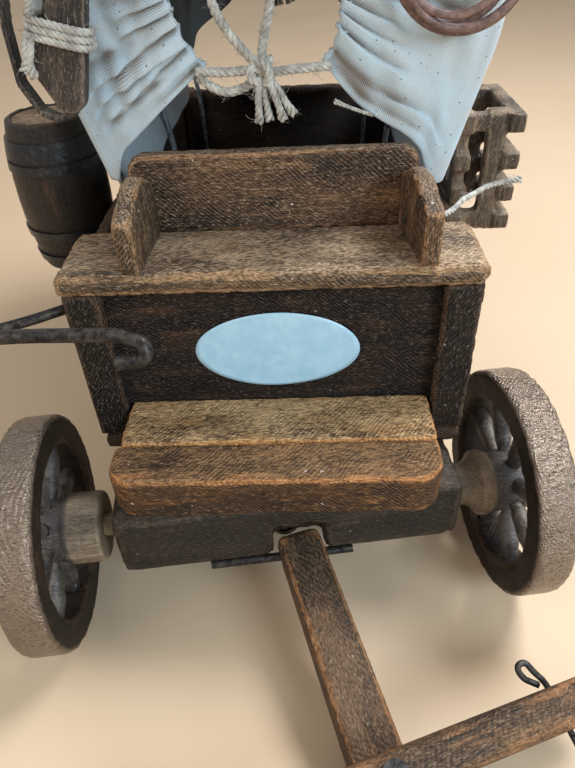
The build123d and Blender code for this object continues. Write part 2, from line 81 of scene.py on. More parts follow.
def plug(node, values):
    """Gives a node's named or counted inputs a number, a colour or another node's socket."""
    for key, value in values.items():
        if isinstance(value, bpy.types.NodeSocket):
            node.id_data.links.new(value, node.inputs[key])
        else:
            node.inputs[key].default_value = value


def put(tree, kind, values=(), **settings):
    """A new node with its settings and inputs."""
    made = tree.nodes.new(kind)
    for name, value in settings.items():
        setattr(made, name, value)
    plug(made, dict(values))
    return made


def sum_of(operation, *values, clamp=False):
    """One step of arithmetic on numbers and sockets."""
    tree = next(value.id_data for value in values if isinstance(value, bpy.types.NodeSocket))
    made = put(tree, "ShaderNodeMath", dict(enumerate(values)), operation=operation, use_clamp=clamp)
    return made.outputs[0]


def new_finish(name):
    """A new material with its node tree and its shader."""
    made = bpy.data.materials.new(name)
    made.use_nodes = True
    return made, made.node_tree, made.node_tree.nodes["Principled BSDF"]


def add_camera():
    across, along = math.sin(EYE_YAW), math.cos(EYE_YAW)
    ahead = Vector((across * math.cos(EYE_PITCH), along * math.cos(EYE_PITCH), -math.sin(EYE_PITCH)))
    level = Vector((along, -across, 0.0))
    down = ahead.cross(level)
    right = math.cos(EYE_ROLL) * level + math.sin(EYE_ROLL) * down
    up = math.sin(EYE_ROLL) * level - math.cos(EYE_ROLL) * down
    data = bpy.data.cameras.new("camera")
    data.sensor_fit = "VERTICAL"
    data.sensor_height = FILM_HEIGHT
    data.lens = FOCAL_PIXELS / FRAME_HEIGHT * FILM_HEIGHT
    data.clip_start = 0.005
    camera = set_down("camera", data)
    camera.matrix_world = Matrix.Translation(at(*EYE)) @ Matrix((right, up, -ahead)).transposed().to_4x4()
    bpy.context.scene.camera = camera


def add_studio():
    """A warm sky and the lamps light the wagon; the camera, and in part what shines, sees a white sky."""
    world = bpy.data.worlds.new("studio")
    world.use_nodes = True
    tree = world.node_tree
    tree.nodes.clear()
    rays = put(tree, "ShaderNodeLightPath").outputs
    seen = sum_of("MAXIMUM", rays["Is Camera Ray"], sum_of("MULTIPLY", rays["Is Glossy Ray"], SKY_IN_GLOSS))
    light, white = [put(tree, "ShaderNodeBackground", {"Color": colour, "Strength": strength}).outputs[0]
                    for colour, strength in (LIGHT_SKY, SEEN_SKY)]
    mixed = put(tree, "ShaderNodeMixShader", {0: seen, 1: light, 2: white})
    put(tree, "ShaderNodeOutputWorld", {"Surface": mixed.outputs[0]})
    bpy.context.scene.world = world
    for name, place, width, watts, tint in LAMPS:
        data = bpy.data.lights.new(name, "AREA")
        data.shape, data.size, data.energy, data.color = "DISK", width, watts, tint
        lamp = set_down(name, data)
        lamp.location = place
        lamp.rotation_euler = (LAMP_TARGET - Vector(place)).to_track_quat("-Z", "Y").to_euler()


def add_floor():
    mesh = bpy.data.meshes.new("floor")
    corners = [(FLOOR_REACH * x, FLOOR_REACH * y, 0) for x, y in ((-1, -1), (1, -1), (1, 1), (-1, 1))]
    mesh.from_pydata(corners, [], [(0, 1, 2, 3)])
    floor = set_down("floor", mesh)
    cream, tree, shader = new_finish("cream_floor")
    place = put(tree, "ShaderNodeTexCoord").outputs["Object"]
    blotch = put(tree, "ShaderNodeTexNoise", {"Vector": place, "Scale": 9.0, "Detail": 3.0})
    tone = put(tree, "ShaderNodeValToRGB", {"Fac": blotch.outputs["Fac"]})
    for stop, colour in zip(tone.color_ramp.elements, FLOOR_TONES):
        stop.color = colour
    plug(shader, {"Base Color": tone.outputs["Color"], "Roughness": 0.75})
    mesh.materials.append(cream)


bpy.context.scene.view_settings.view_transform = "Standard"
add_camera()
add_studio()
add_floor()


# Every board is a piece of soft wood, sawn square, rubbed round at its edges and stained nearly black.
# The saw left fine slanting marks, the stain has rubbed off the corners, and dust lies on what faces up.
# The boards are glued and pinned together.
NODE_BODY = {node: body for body, nodes in frame["record"]["behaviour"]["bodies"].items() for node in nodes}
HOUSE_DUST, PALE_FLECK = (0.44, 0.34, 0.235), (0.72, 0.68, 0.60)
SAW_TILT = (math.radians(20.0), math.radians(38.0), math.radians(41.0))


def times(first, second):
    return sum_of("MULTIPLY", first, second)


def plus(first, second):
    return sum_of("ADD", first, second)


def minus(first, second):
    return sum_of("SUBTRACT", first, second)


def arrow(operation, first, second):
    """One step of arithmetic on vectors."""
    values = {0: first, "Scale" if operation == "SCALE" else 1: second}
    made = put(first.id_data, "ShaderNodeVectorMath", values, operation=operation)
    return made.outputs["Value" if operation == "DOT_PRODUCT" else "Vector"]


def turned(place, rotation):
    return put(place.id_data, "ShaderNodeVectorRotate", {"Vector": place, "Rotation": rotation},
               rotation_type="EULER_XYZ").outputs[0]


def noise(place, scale, detail, roughness):
    """Noise with scale cells to the millimetre, which may differ in X, Y and Z."""
    if isinstance(scale, tuple):
        place, scale = arrow("MULTIPLY", place, scale), 1.0
    values = {"Vector": place, "Scale": scale, "Detail": detail, "Roughness": roughness}
    return put(place.id_data, "ShaderNodeTexNoise", values).outputs["Fac"]


def bands(place, direction, scale, distortion, detail, detail_scale):
    """Waves that follow one another in a direction."""
    values = {"Vector": place, "Scale": scale, "Distortion": distortion, "Detail": detail,
              "Detail Scale": detail_scale}
    return put(place.id_data, "ShaderNodeTexWave", values, wave_type="BANDS",
               bands_direction=direction).outputs["Fac"]


def scattered(place, scale):
    """Spots strewn over a surface: the distance to the nearest one, and a chance of its own for each."""
    tree = place.id_data
    spots = put(tree, "ShaderNodeTexVoronoi", {"Vector": place, "Scale": scale}, feature="F1").outputs
    return spots["Distance"], put(tree, "ShaderNodeSeparateXYZ", {0: spots["Color"]}).outputs[0]


def ramp(value, low, high):
    """The share of the way that a value has come from low to high, between 0 and 1, eased at both ends."""
    return put(value.id_data, "ShaderNodeMapRange", {"Value": value, "From Min": low, "From Max": high},
               interpolation_type="SMOOTHSTEP").outputs["Result"]


def blend(share, first, second):
    """The first colour with a share of the second over it."""
    first, second = [colour if isinstance(colour, bpy.types.NodeSocket) else (*colour, 1.0)
                     for colour in (first, second)]
    return put(share.id_data, "ShaderNodeMix", {0: share, 6: first, 7: second}, data_type="RGBA").outputs[2]


def mark(tree, label, socket="Fac"):
    """What the piece's mesh is marked with under a name."""
    return put(tree, "ShaderNodeAttribute", attribute_name=label).outputs[socket]


def relief(height, strength, depth):
    """The normal of a surface with a fine relief, its depth in mm."""
    values = {"Height": height, "Strength": strength, "Distance": depth * MM}
    return put(height.id_data, "ShaderNodeBump", values).outputs[0]


def new_tree(name, kind, inputs, outputs):
    """A node group with named sockets: the tree, what it is given, and the node that takes its result."""
    tree = bpy.data.node_groups.new(name, kind)
    for direction, sockets in (("INPUT", inputs), ("OUTPUT", outputs)):
        for label, socket in sockets.items():
            tree.interface.new_socket(name=label, in_out=direction, socket_type="NodeSocket" + socket)
    return tree, tree.nodes.new("NodeGroupInput").outputs, tree.nodes.new("NodeGroupOutput")


def weathering_tree():
    """Rubs a remeshed board's edges round, raises its grain and marks what is worn, sunk and dusty."""
    tree, given, result = new_tree(
        "Weathered board", "GeometryNodeTree",
        {"Geometry": "Geometry", "Grain Turn": "Vector", "Grain Offset": "Vector", "Spread": "Int",
         "Edge Loss": "Float", "Ridges": "Float", "Material": "Material"},
        {"Geometry": "Geometry"})
    place = put(tree, "GeometryNodeInputPosition").outputs[0]
    normal = put(tree, "GeometryNodeInputNormal").outputs[0]
    facing = put(tree, "ShaderNodeSeparateXYZ", {0: normal}).outputs["Z"]
    grain = arrow("ADD", arrow("SCALE", turned(place, given["Grain Turn"]), 1.0 / MM), given["Grain Offset"])
    soft = put(tree, "GeometryNodeBlurAttribute", {"Value": place, "Iterations": given["Spread"]},
               data_type="FLOAT_VECTOR").outputs[0]
    bulge = arrow("DOT_PRODUCT", arrow("SUBTRACT", place, soft), normal)
    edge = ramp(bulge, 0.04 * MM, 0.24 * MM)
    sunk = ramp(bulge, -0.03 * MM, -0.25 * MM)
    bitten = times(edge, ramp(noise(grain, 0.35, 3.0, 0.6), 0.42, 0.66))
    fibre = noise(grain, (0.06, 0.9, 0.9), 3.0, 0.6)
    ridge = times(minus(fibre, 0.5), given["Ridges"])
    loss = times(plus(bitten, times(edge, 0.25)), given["Edge Loss"])
    geometry = given["Geometry"]
    for label, kind, value in (("grain", "FLOAT_VECTOR", grain), ("worn", "FLOAT", edge),
                               ("sunk", "FLOAT", sunk), ("facing", "FLOAT", facing)):
        geometry = put(tree, "GeometryNodeStoreNamedAttribute",
                       {"Geometry": geometry, "Name": label, "Value": value},
                       data_type=kind, domain="POINT").outputs[0]
    for kind, values in (
        ("GeometryNodeSetPosition", {"Offset": arrow("SCALE", normal, minus(ridge, loss))}),
        ("GeometryNodeSetShadeSmooth", {}),
        ("GeometryNodeRealizeInstances", {}),
        ("GeometryNodeSetMaterial", {"Material": given["Material"]}),
    ):
        geometry = put(tree, kind, {"Geometry": geometry, **values}).outputs[0]
    plug(result, {0: geometry})
    return tree


def stain_tree():
    """Colour, roughness and height of stained wood, along a grain that runs in the vector's X, in mm."""
    tree, given, result = new_tree(
        "Stained grain", "ShaderNodeTree",
        {"Vector": "Vector", "Worn": "Float", "Sunk": "Float", "Facing": "Float", "Deep": "Color",
         "Brown": "Color", "Rubbed": "Color", "Dust Colour": "Color", "Brown Share": "Float",
         "Rub": "Float", "Dust": "Float", "Saw": "Float", "Grit": "Float"},
        {"Color": "Color", "Roughness": "Float", "Height": "Float"})
    grain = given["Vector"]

    # What the wood and the dust are made of, finer across the grain than along it.
    fibre = noise(grain, (0.10, 1.9, 1.9), 4.0, 0.65)
    pores = noise(grain, (0.5, 4.6, 4.6), 2.0, 0.6)
    blotch = noise(grain, (0.035, 0.10, 0.10), 3.0, 0.62)
    patch = noise(grain, (0.045, 0.21, 0.21), 3.0, 0.6)
    grit = noise(grain, (0.65, 2.3, 2.3), 3.0, 0.9)
    sawn_here = times(ramp(noise(grain, 0.11, 2.0, 0.6), 0.36, 0.60), given["Saw"])
    saw = times(minus(bands(turned(grain, SAW_TILT), "X", 0.42, 9.0, 3.0, 0.22), 0.5), sawn_here)

    # The stain stands deep in the pores, is browner in stripes and rubbed off in patches and at the edges.
    tone = plus(plus(times(fibre, 1.1), times(blotch, 1.6)), times(saw, 0.75))
    brown = ramp(plus(tone, minus(given["Brown Share"], 0.5)), 1.10, 1.60)
    colour = blend(brown, given["Deep"], given["Brown"])
    rubbing = plus(times(given["Worn"], 0.85), times(patch, 2.1))
    rubbing = ramp(sum_of("MULTIPLY_ADD", fibre, 0.5, rubbing), 1.35, 1.95)
    colour = blend(times(rubbing, given["Rub"]), colour, given["Rubbed"])
    dark_pores = times(ramp(pores, 0.44, 0.30), 0.75)
    colour = blend(dark_pores, colour, given["Deep"])

    # Dust lies on what faces up and in corners, less where the wood is rubbed; grit and flecks lie in it.
    lies = plus(ramp(given["Facing"], 0.35, 0.95), times(given["Sunk"], 0.8))
    lies = times(lies, sum_of("MULTIPLY_ADD", rubbing, -0.65, 1.0))
    heap = plus(times(grit, 1.5), times(blotch, 0.9))
    dust = sum_of("MULTIPLY", ramp(heap, 0.95, 1.55), times(lies, given["Dust"]), clamp=True)
    colour = blend(dust, colour, given["Dust Colour"])
    dark_grit = times(ramp(grit, 0.52, 0.42), given["Grit"])
    colour = blend(times(dark_grit, 0.7), colour, arrow("SCALE", given["Deep"], 0.3))
    pale_grit = times(ramp(grit, 0.56, 0.64), given["Grit"])
    colour = blend(times(pale_grit, 0.6), colour, given["Dust Colour"])
    away, chance = scattered(grain, 0.26)
    reach = sum_of("MULTIPLY_ADD", chance, -0.16, plus(away, 0.16))
    fleck = times(ramp(reach, 0.115, 0.085), given["Dust"])

    rough = plus(plus(0.52, times(dust, 0.3)), times(minus(fibre, 0.5), 0.3))
    height = minus(plus(times(fibre, 0.5), times(saw, 0.6)), times(dark_pores, 0.4))
    height = sum_of("MULTIPLY_ADD", fleck, 0.2, plus(height, times(grit, 0.7)))
    plug(result, {"Color": blend(fleck, colour, PALE_FLECK), "Roughness": rough, "Height": height})
    return tree


WEATHERING = weathering_tree()
STAIN = stain_tree()


def stained_wood(name, deep, brown, rubbed, dust_colour, brown_share, rub, dust, saw, bump=0.6, grit=0.6,
                 shine=0.4, rough=0.0, turn=None, coat=None):
    """Stained wood, from the colours of the deep and the brown stain, of rubbed wood and of its dust.
    With a turn it reads the object's own place instead of the board's grain mark.
    coat is the colour, metallic share and roughness of worn paint where the piece is marked for it."""
    made, tree, shader = new_finish(name)
    if turn is None:
        place = mark(tree, "grain", "Vector")
        worn, sunk, facing = mark(tree, "worn"), mark(tree, "sunk"), mark(tree, "facing")
    else:
        own = put(tree, "ShaderNodeTexCoord").outputs["Object"]
        place = put(tree, "ShaderNodeMapping",
                    {"Vector": own, "Rotation": turn, "Scale": (1.0 / MM,) * 3}).outputs[0]
        worn, sunk, facing = 0.25, 0.0, 0.0
    grain = put(tree, "ShaderNodeGroup", node_tree=STAIN)
    plug(grain, {"Vector": place, "Worn": worn, "Sunk": sunk, "Facing": facing, "Deep": (*deep, 1.0),
                 "Brown": (*brown, 1.0), "Rubbed": (*rubbed, 1.0), "Dust Colour": (*dust_colour, 1.0),
                 "Brown Share": brown_share, "Rub": rub, "Dust": dust, "Saw": saw, "Grit": grit})
    colour, gloss = grain.outputs["Color"], plus(grain.outputs["Roughness"], rough)
    if coat is not None:
        paint, metal, smooth = coat
        left = ramp(noise(place, (0.8, 2.4, 2.4), 4.0, 0.8), 0.28, 0.52)
        share = times(mark(tree, "coat"), left)
        colour = blend(share, colour, paint)
        gloss = put(tree, "ShaderNodeMix", {0: share, 2: gloss, 3: smooth}, data_type="FLOAT").outputs[0]
        plug(shader, {"Metallic": times(share, metal)})
    plug(shader, {"Base Color": colour, "Roughness": gloss, "Specular IOR Level": shine,
                  "Normal": relief(grain.outputs["Height"], bump, 0.4)})
    return made


def settle(piece, node):
    """The piece stands for a CAD node, which it hides, and rides where that node rides."""
    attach(piece, NODE_BODY[node])
    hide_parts(node)
    return piece


def grow(scratch, tree, inputs):
    """Puts a Geometry Nodes tree on an object, its inputs given by name."""
    modifier = scratch.modifiers.new(tree.name, "NODES")
    modifier.node_group = tree
    for socket in tree.interface.items_tree:
        if socket.in_out == "INPUT" and socket.name in inputs:
            modifier[socket.identifier] = inputs[socket.name]


def finished(scratch, name):
    """A plain mesh object from a scratch object with its modifiers applied."""
    bpy.context.view_layer.update()
    evaluated = scratch.evaluated_get(bpy.context.evaluated_depsgraph_get())
    mesh = bpy.data.meshes.new_from_object(evaluated)
    mesh.name = name
    old = scratch.data
    bpy.data.objects.remove(scratch)
    if old.users == 0:
        bpy.data.meshes.remove(old)
    return set_down(name, mesh)


def weathered(node, grain_turn, step, edge_loss, material, ridges=0.12, spread=6):
    """A worn copy of one CAD piece, meshed anew in steps of so many mm.
    grain_turn is the turn in degrees that brings its grain onto X; loss and ridges are in mm."""
    shape = bmesh.new()
    shape.from_mesh(frame["nodes"][node].data)
    bmesh.ops.remove_doubles(shape, verts=shape.verts, dist=0.002 * MM)
    mesh = bpy.data.meshes.new(node + "_blank")
    shape.to_mesh(mesh)
    shape.free()
    scratch = set_down(node + "_blank", mesh)
    remesh = scratch.modifiers.new("even", "REMESH")
    remesh.mode = "VOXEL"
    remesh.voxel_size = step * MM
    offset = Vector((len(node) * 13.0, sum(map(ord, node)) % 97, 5.0))
    grow(scratch, WEATHERING, {
        "Grain Turn": [math.radians(angle) for angle in grain_turn], "Grain Offset": offset, "Spread": spread,
        "Edge Loss": edge_loss * MM, "Ridges": ridges * MM, "Material": material})
    return settle(finished(scratch, node + "_worn"), node)


frame_stain = stained_wood(
    "frame_stain", (0.006, 0.005, 0.004), (0.030, 0.019, 0.014), (0.18, 0.100, 0.056), (0.29, 0.24, 0.20),
    brown_share=0.45, rub=0.4, dust=0.25, saw=1.0, bump=1.0, grit=0.85, shine=0.25)
wall_stain = stained_wood(
    "wall_stain", (0.009, 0.006, 0.005), (0.050, 0.032, 0.023), (0.20, 0.115, 0.065), (0.26, 0.22, 0.18),
    brown_share=0.5, rub=0.4, dust=0.3, saw=0.8, bump=1.0, grit=0.5, shine=0.25)
panel_stain = stained_wood(
    "panel_stain", (0.005, 0.004, 0.004), (0.030, 0.018, 0.012), (0.14, 0.070, 0.036), (0.24, 0.19, 0.155),
    brown_share=0.5, rub=0.55, dust=0.2, saw=1.0, bump=1.0, grit=0.8, shine=0.2)
ALONG_X, ALONG_Y, ALONG_Z = (0.0, 0.0, 0.0), (0.0, 0.0, -90.0), (0.0, 90.0, 0.0)
for board in (
    ("floor_board", ALONG_Y, 2.0, 0.3, wall_stain),
    ("side_wall_left", ALONG_Y, 1.3, 0.4, wall_stain),
    ("side_wall_right", ALONG_Y, 1.3, 0.4, wall_stain),
    ("tail_panel", ALONG_X, 1.2, 0.4, wall_stain),
    ("front_panel", ALONG_X, 0.7, 0.4, panel_stain),
    ("corner_posts", ALONG_Z, 0.7, 0.7, frame_stain),
):
    weathered(*board)


# The driver's seat is a plank across the front of the box with a back and two slant-cut arms glued on.
# It is the dustiest part: its stain is grey brown on top, and the edges are worn through to bare wood.
seat_stain = stained_wood(
    "seat_stain", (0.030, 0.019, 0.012), (0.160, 0.095, 0.048), (0.52, 0.30, 0.14), (0.64, 0.46, 0.30),
    brown_share=0.6, rub=0.7, dust=1.0, saw=0.8, bump=1.0, grit=0.85)
back_stain = stained_wood(
    "back_stain", (0.022, 0.014, 0.010), (0.150, 0.080, 0.040), (0.46, 0.25, 0.12), (0.56, 0.43, 0.31),
    brown_share=0.6, rub=0.75, dust=0.6, saw=0.65, bump=1.0, grit=0.9, shine=0.3)
for board in (
    ("seat_board", ALONG_X, 0.6, 0.9, seat_stain),
    ("seat_back", ALONG_X, 0.55, 0.6, back_stain),
    ("seat_arm_left", ALONG_Z, 0.5, 0.9, back_stain),
    ("seat_arm_right", ALONG_Z, 0.5, 0.9, seat_stain),
):
    weathered(*board)


# The foot board is two planks side by side, the front one thicker and cut round at its corners.
# Feet have rubbed it browner than the rest, and the saw's slanting marks show in its top.
# The rear plank's top carries a pale orange dust that is partly real dust and partly painted light: it lifts
# the top, which lies in the seat's shade, to the front plank's brightness.
foot_stain = stained_wood(
    "foot_stain", (0.026, 0.013, 0.006), (0.185, 0.095, 0.035), (0.62, 0.30, 0.10), (0.74, 0.50, 0.26),
    brown_share=0.66, rub=0.85, dust=0.95, saw=1.0, bump=1.0, grit=0.75, shine=0.3)
nose_stain = stained_wood(
    "nose_stain", (0.020, 0.010, 0.005), (0.115, 0.052, 0.019), (0.50, 0.215, 0.070), (0.46, 0.27, 0.125),
    brown_share=0.52, rub=0.9, dust=0.5, saw=1.0, bump=1.0, grit=0.85, shine=0.3)
weathered("foot_board_rear", ALONG_X, 0.55, 0.5, foot_stain)
weathered("foot_board_front", ALONG_X, 0.55, 0.7, nose_stain)


# Bolster, axle blocks, pole and cross bar are plain sticks with rounded edges.
# Pins join them, so the axle turns under the bolster and the pole hangs from the axle block.
AXLE_TURN, POLE_TURN, BAR_TURN = -7.0, 71.0, -19.0
axle_stain = stained_wood(
    "axle_stain", (0.018, 0.014, 0.011), (0.036, 0.027, 0.021), (0.14, 0.09, 0.06), (0.26, 0.22, 0.18),
    brown_share=0.5, rub=0.4, dust=0.25, saw=0.5, bump=0.8, grit=0.6, shine=0.25)
pole_stain = stained_wood(
    "pole_stain", (0.026, 0.016, 0.010), (0.100, 0.050, 0.023), (0.36, 0.17, 0.070), (0.38, 0.27, 0.17),
    brown_share=0.55, rub=0.85, dust=0.2, saw=0.6, bump=0.9, grit=0.65, shine=0.3)
for board in (
    ("front_bolster", ALONG_X, 1.0, 0.4, axle_stain),
    ("rear_axle_block", ALONG_X, 1.1, 0.6, axle_stain),
    ("front_axle_block", (0.0, 0.0, AXLE_TURN), 0.85, 0.8, axle_stain),
    ("pole", (0.0, 0.0, POLE_TURN), 0.55, 0.7, pole_stain),
    ("cross_bar", (0.0, 0.0, BAR_TURN), 0.6, 0.8, pole_stain),
):
    weathered(*board)


# The cover is one piece of plain-woven cotton laid over three wire hoops, its side edges left loose.
# A string runs through the hem at each end and draws it in to a round mouth, so the cloth between hoop
# and mouth stands in folds, and the front corners hang as two flaps beside the seat.
CROWN_RADIUS, CROWN_Z = 52.5, 150.5
FOOT_X, FOOT_Z = 40.0, 99.0
COVER_NEAR, COVER_FAR = 24.6, 182.0
PANEL_Y = COVER_NEAR + 0.5
HOOP_YS = (28.0, 103.0, 178.0)
BEND = 2.8
CLOTH_THICK, RIB_PITCH, CROSS_PITCH = 0.45, 0.62, 0.56
CORNER_LIFT = (14.6, 11.0)
LIFT_FADE, LEAN_FADE = (2.0, 26.0), 16.0
CLOTH_LEAN, LEAN_ACROSS = 4.6, (0.10, 0.34)
PULL_DEPTH, PULL_FADE = 0.8, 9.0
SLACK_GROWS, SWELL_LENGTH = (1.5, 26.0), 157.0
MOUTH = (
    (-13.4, 137.6), (-17.0, 141.5), (-18.8, 146.5), (-21.5, 155.0), (-21.5, 166.0), (-15.0, 177.5),
    (0.0, 181.5), (15.0, 177.5), (21.0, 166.0), (19.6, 155.0), (17.4, 146.0), (16.6, 140.6), (13.6, 137.6),
)
RIGHT_FLAP_EDGE = ((-36.9, 113.4), (-35.2, 119.8), (-31.8, 122.6), (-24.3, 128.9), (-13.4, 137.6))
LEFT_FLAP_EDGE = ((39.8, 109.9), (37.7, 113.4), (35.7, 120.0), (22.7, 127.2), (16.9, 133.1), (13.6, 137.6))
FINE_PLEATS, FINE_DEPTH = (25, 1.7), 2.5
BROAD_PLEATS, BROAD_DEPTH = (10, 2.4), 3.6
FRONT_SEED, REAR_SEED, SAG_SEED = 4, 21, 31


def length_of(points):
    return float(np.linalg.norm(np.diff(points, axis=0), axis=1).sum())


def walk(points, shares):
    """Points at the given shares of a line's length."""
    points = np.asarray(points, float)
    reach = np.concatenate([[0.0], np.cumsum(np.linalg.norm(np.diff(points, axis=0), axis=1))])
    places = np.asarray(shares) * reach[-1]
    return np.stack([np.interp(places, reach, column) for column in points.T], axis=-1)


def rounded(points, passes=3):
    """The line with its corners cut off again and again, its two ends kept."""
    points = np.asarray(points, float)
    for _ in range(passes):
        near = 0.75 * points[:-1] + 0.25 * points[1:]
        far = 0.25 * points[:-1] + 0.75 * points[1:]
        cut = np.stack([near, far], axis=1).reshape(-1, points.shape[1])
        points = np.vstack([points[:1], cut, points[-1:]])
    return points


def horseshoe(inset=0.0, count=240):
    """The cover's outline in X and Z, from the foot on the wagon's right over the crown to the other foot."""
    radius = CROWN_RADIUS - inset
    foot = (FOOT_X - inset, FOOT_Z - CROWN_Z)
    turn = math.atan2(foot[1], foot[0]) + math.acos(radius / math.hypot(*foot))
    angles = np.linspace(math.pi - turn, turn, count)
    crown = np.stack([radius * np.cos(angles), CROWN_Z + radius * np.sin(angles)], axis=1)
    return np.vstack([[(-foot[0], FOOT_Z)], crown, [(foot[0], FOOT_Z)]])


def eased(value, low, high):
    share = np.clip((value - low) / (high - low), 0.0, 1.0)
    return share * share * (3.0 - 2.0 * share)


def pleats(across, count, unevenness, seed):
    """Folds with full ridges and narrow valleys: their heights between 0 and 1, and which way they lean."""
    dice = np.random.default_rng(seed)
    phase = across * count
    for turns in (2.3, 4.1, 7.7):
        phase = phase + unevenness / turns * np.sin(2 * math.pi * (turns * across + dice.random()))
    height = 0.75 + 0.25 * np.sin(2 * math.pi * (3.3 * across + dice.random()))
    return np.abs(np.sin(math.pi * phase)) ** 0.75 * height, np.cos(2 * math.pi * phase)


def swell(across, along, seed, waves=9):
    """A slow random swell over the whole cloth, about -1 to 1."""
    dice = np.random.default_rng(seed)
    total = 0.0
    for _ in range(waves):
        turns, reach = dice.uniform(3.0, 11.0), dice.uniform(0.5, 5.0)
        total = total + np.sin(2 * math.pi * (turns * across + reach * along + dice.random()))
    return total / waves ** 0.5


def cloth_outline(across, depth, inset):
    """A point on the cloth's outline: across from one loose edge to the other, depth behind the end in mm.
    The front hoop's leg on the wagon's right leans in, and takes the cloth with it."""
    outline = horseshoe(inset)
    lift = [height * (1.0 - eased(depth, *LIFT_FADE)) / length_of(outline) for height in CORNER_LIFT]
    place = walk(outline, lift[0] + across * (1.0 - lift[0] - lift[1]))
    pull = CLOTH_LEAN * (1.0 - eased(across, *LEAN_ACROSS)) * np.exp(-np.maximum(depth, 0.0) / LEAN_FADE)
    return place + np.stack([pull, 0.0 * across], axis=-1)


def at_depth(ring, y):
    """Points in space from a ring in X and Z and its distances to the rear."""
    return np.stack([ring[..., 0], np.broadcast_to(y, ring.shape[:-1]), ring[..., 1]], axis=-1)


def end_panel(across, inward, seed):
    """The folded cloth between the bend at a hoop (inward 0) and the mouth's hem (inward 1)."""
    hem = rounded(MOUTH)
    start = cloth_outline(across, np.zeros_like(across), BEND)
    mouth = walk(hem, across)
    flat = start + (mouth - start) * inward[..., None]
    for edge, side in ((RIGHT_FLAP_EDGE, 0.0), (LEFT_FLAP_EDGE, 1.0)):
        ends = np.full_like(across, side)
        first = cloth_outline(ends, np.zeros_like(across), BEND)
        straight = first + (walk(hem, ends) - first) * inward[..., None]
        near_edge = np.exp(-((across - side) / 0.09) ** 2)
        flat = flat + (walk(rounded(edge, 2), inward) - straight) * near_edge[..., None]
    fine, fine_lean = pleats(across, *FINE_PLEATS, seed)
    broad, broad_lean = pleats(across, *BROAD_PLEATS, seed + 1)
    fine_depth = FINE_DEPTH * eased(inward, 0.30, 1.0)
    fullness = 0.7 + 0.3 * swell(across, inward, seed + 2)
    broad_depth = BROAD_DEPTH * np.sin(math.pi * inward ** 0.85) * fullness
    calm = eased(np.minimum(across, 1.0 - across), 0.0, 0.045)
    forward = (fine * fine_depth + broad * broad_depth) * (0.25 + 0.75 * calm)
    along_hem = np.gradient(mouth, axis=1)
    along_hem /= np.maximum(np.linalg.norm(along_hem, axis=-1, keepdims=True), 1e-6)
    lean = (fine_lean * fine_depth * 0.30 + broad_lean * broad_depth * 0.28) * calm
    flat = flat + along_hem * lean[..., None]
    # How hollow the cloth lies in the folds' valleys also sets how much painted shade it gets.
    hollow = (1.0 - fine) * fine_depth / FINE_DEPTH + (1.0 - broad) * broad_depth / BROAD_DEPTH
    return at_depth(flat, PANEL_Y - forward), np.clip(0.75 * hollow, 0.0, 1.0)


def cover_end(across, seed):
    """Rows of one end, from the hem's inner lip to the tunnel: points, hollowness and place on the cloth."""
    panel_rows, panel_length = 34, 28.0
    hem_rows, hem_radius = 7, 1.15
    bend_rows = 5
    inward = np.tile(np.linspace(1.0, 0.0, panel_rows)[:, None], (1, len(across)))
    panel, hollow = end_panel(np.tile(across, (panel_rows, 1)), inward, seed)
    inner = (panel[0] - panel[3]) * (1.0, 0.0, 1.0)
    inner /= np.linalg.norm(inner, axis=-1, keepdims=True)
    pucker = 1.0 + 0.22 * np.sin(2 * math.pi * (58 * across + 0.3 * np.sin(2 * math.pi * 9 * across)))
    points, hollows, places = [], [], []
    for angle in np.linspace(1.65 * math.pi, 0.15 * math.pi, hem_rows):
        swing = math.sin(angle) * inner + (1.0 - math.cos(angle)) * np.array([0.0, 1.0, 0.0])
        points.append(panel[0] + hem_radius * pucker[:, None] * swing)
        hollows.append(hollow[0] * 0.5)
        places.append(-hem_radius * angle)
    points += list(panel)
    hollows += list(hollow)
    places += [panel_length * row / (panel_rows - 1) for row in range(panel_rows)]
    for angle in np.linspace(0.0, math.pi / 2, bend_rows + 2)[1:-1]:
        depth = BEND * (1.0 - math.cos(angle))
        ring = cloth_outline(across, np.full_like(across, depth), BEND * (1.0 - math.sin(angle)))
        points.append(at_depth(ring, PANEL_Y + depth))
        hollows.append(hollow[-1])
        places.append(panel_length + BEND * angle)
    return np.array(points), np.array(hollows), np.array(places)


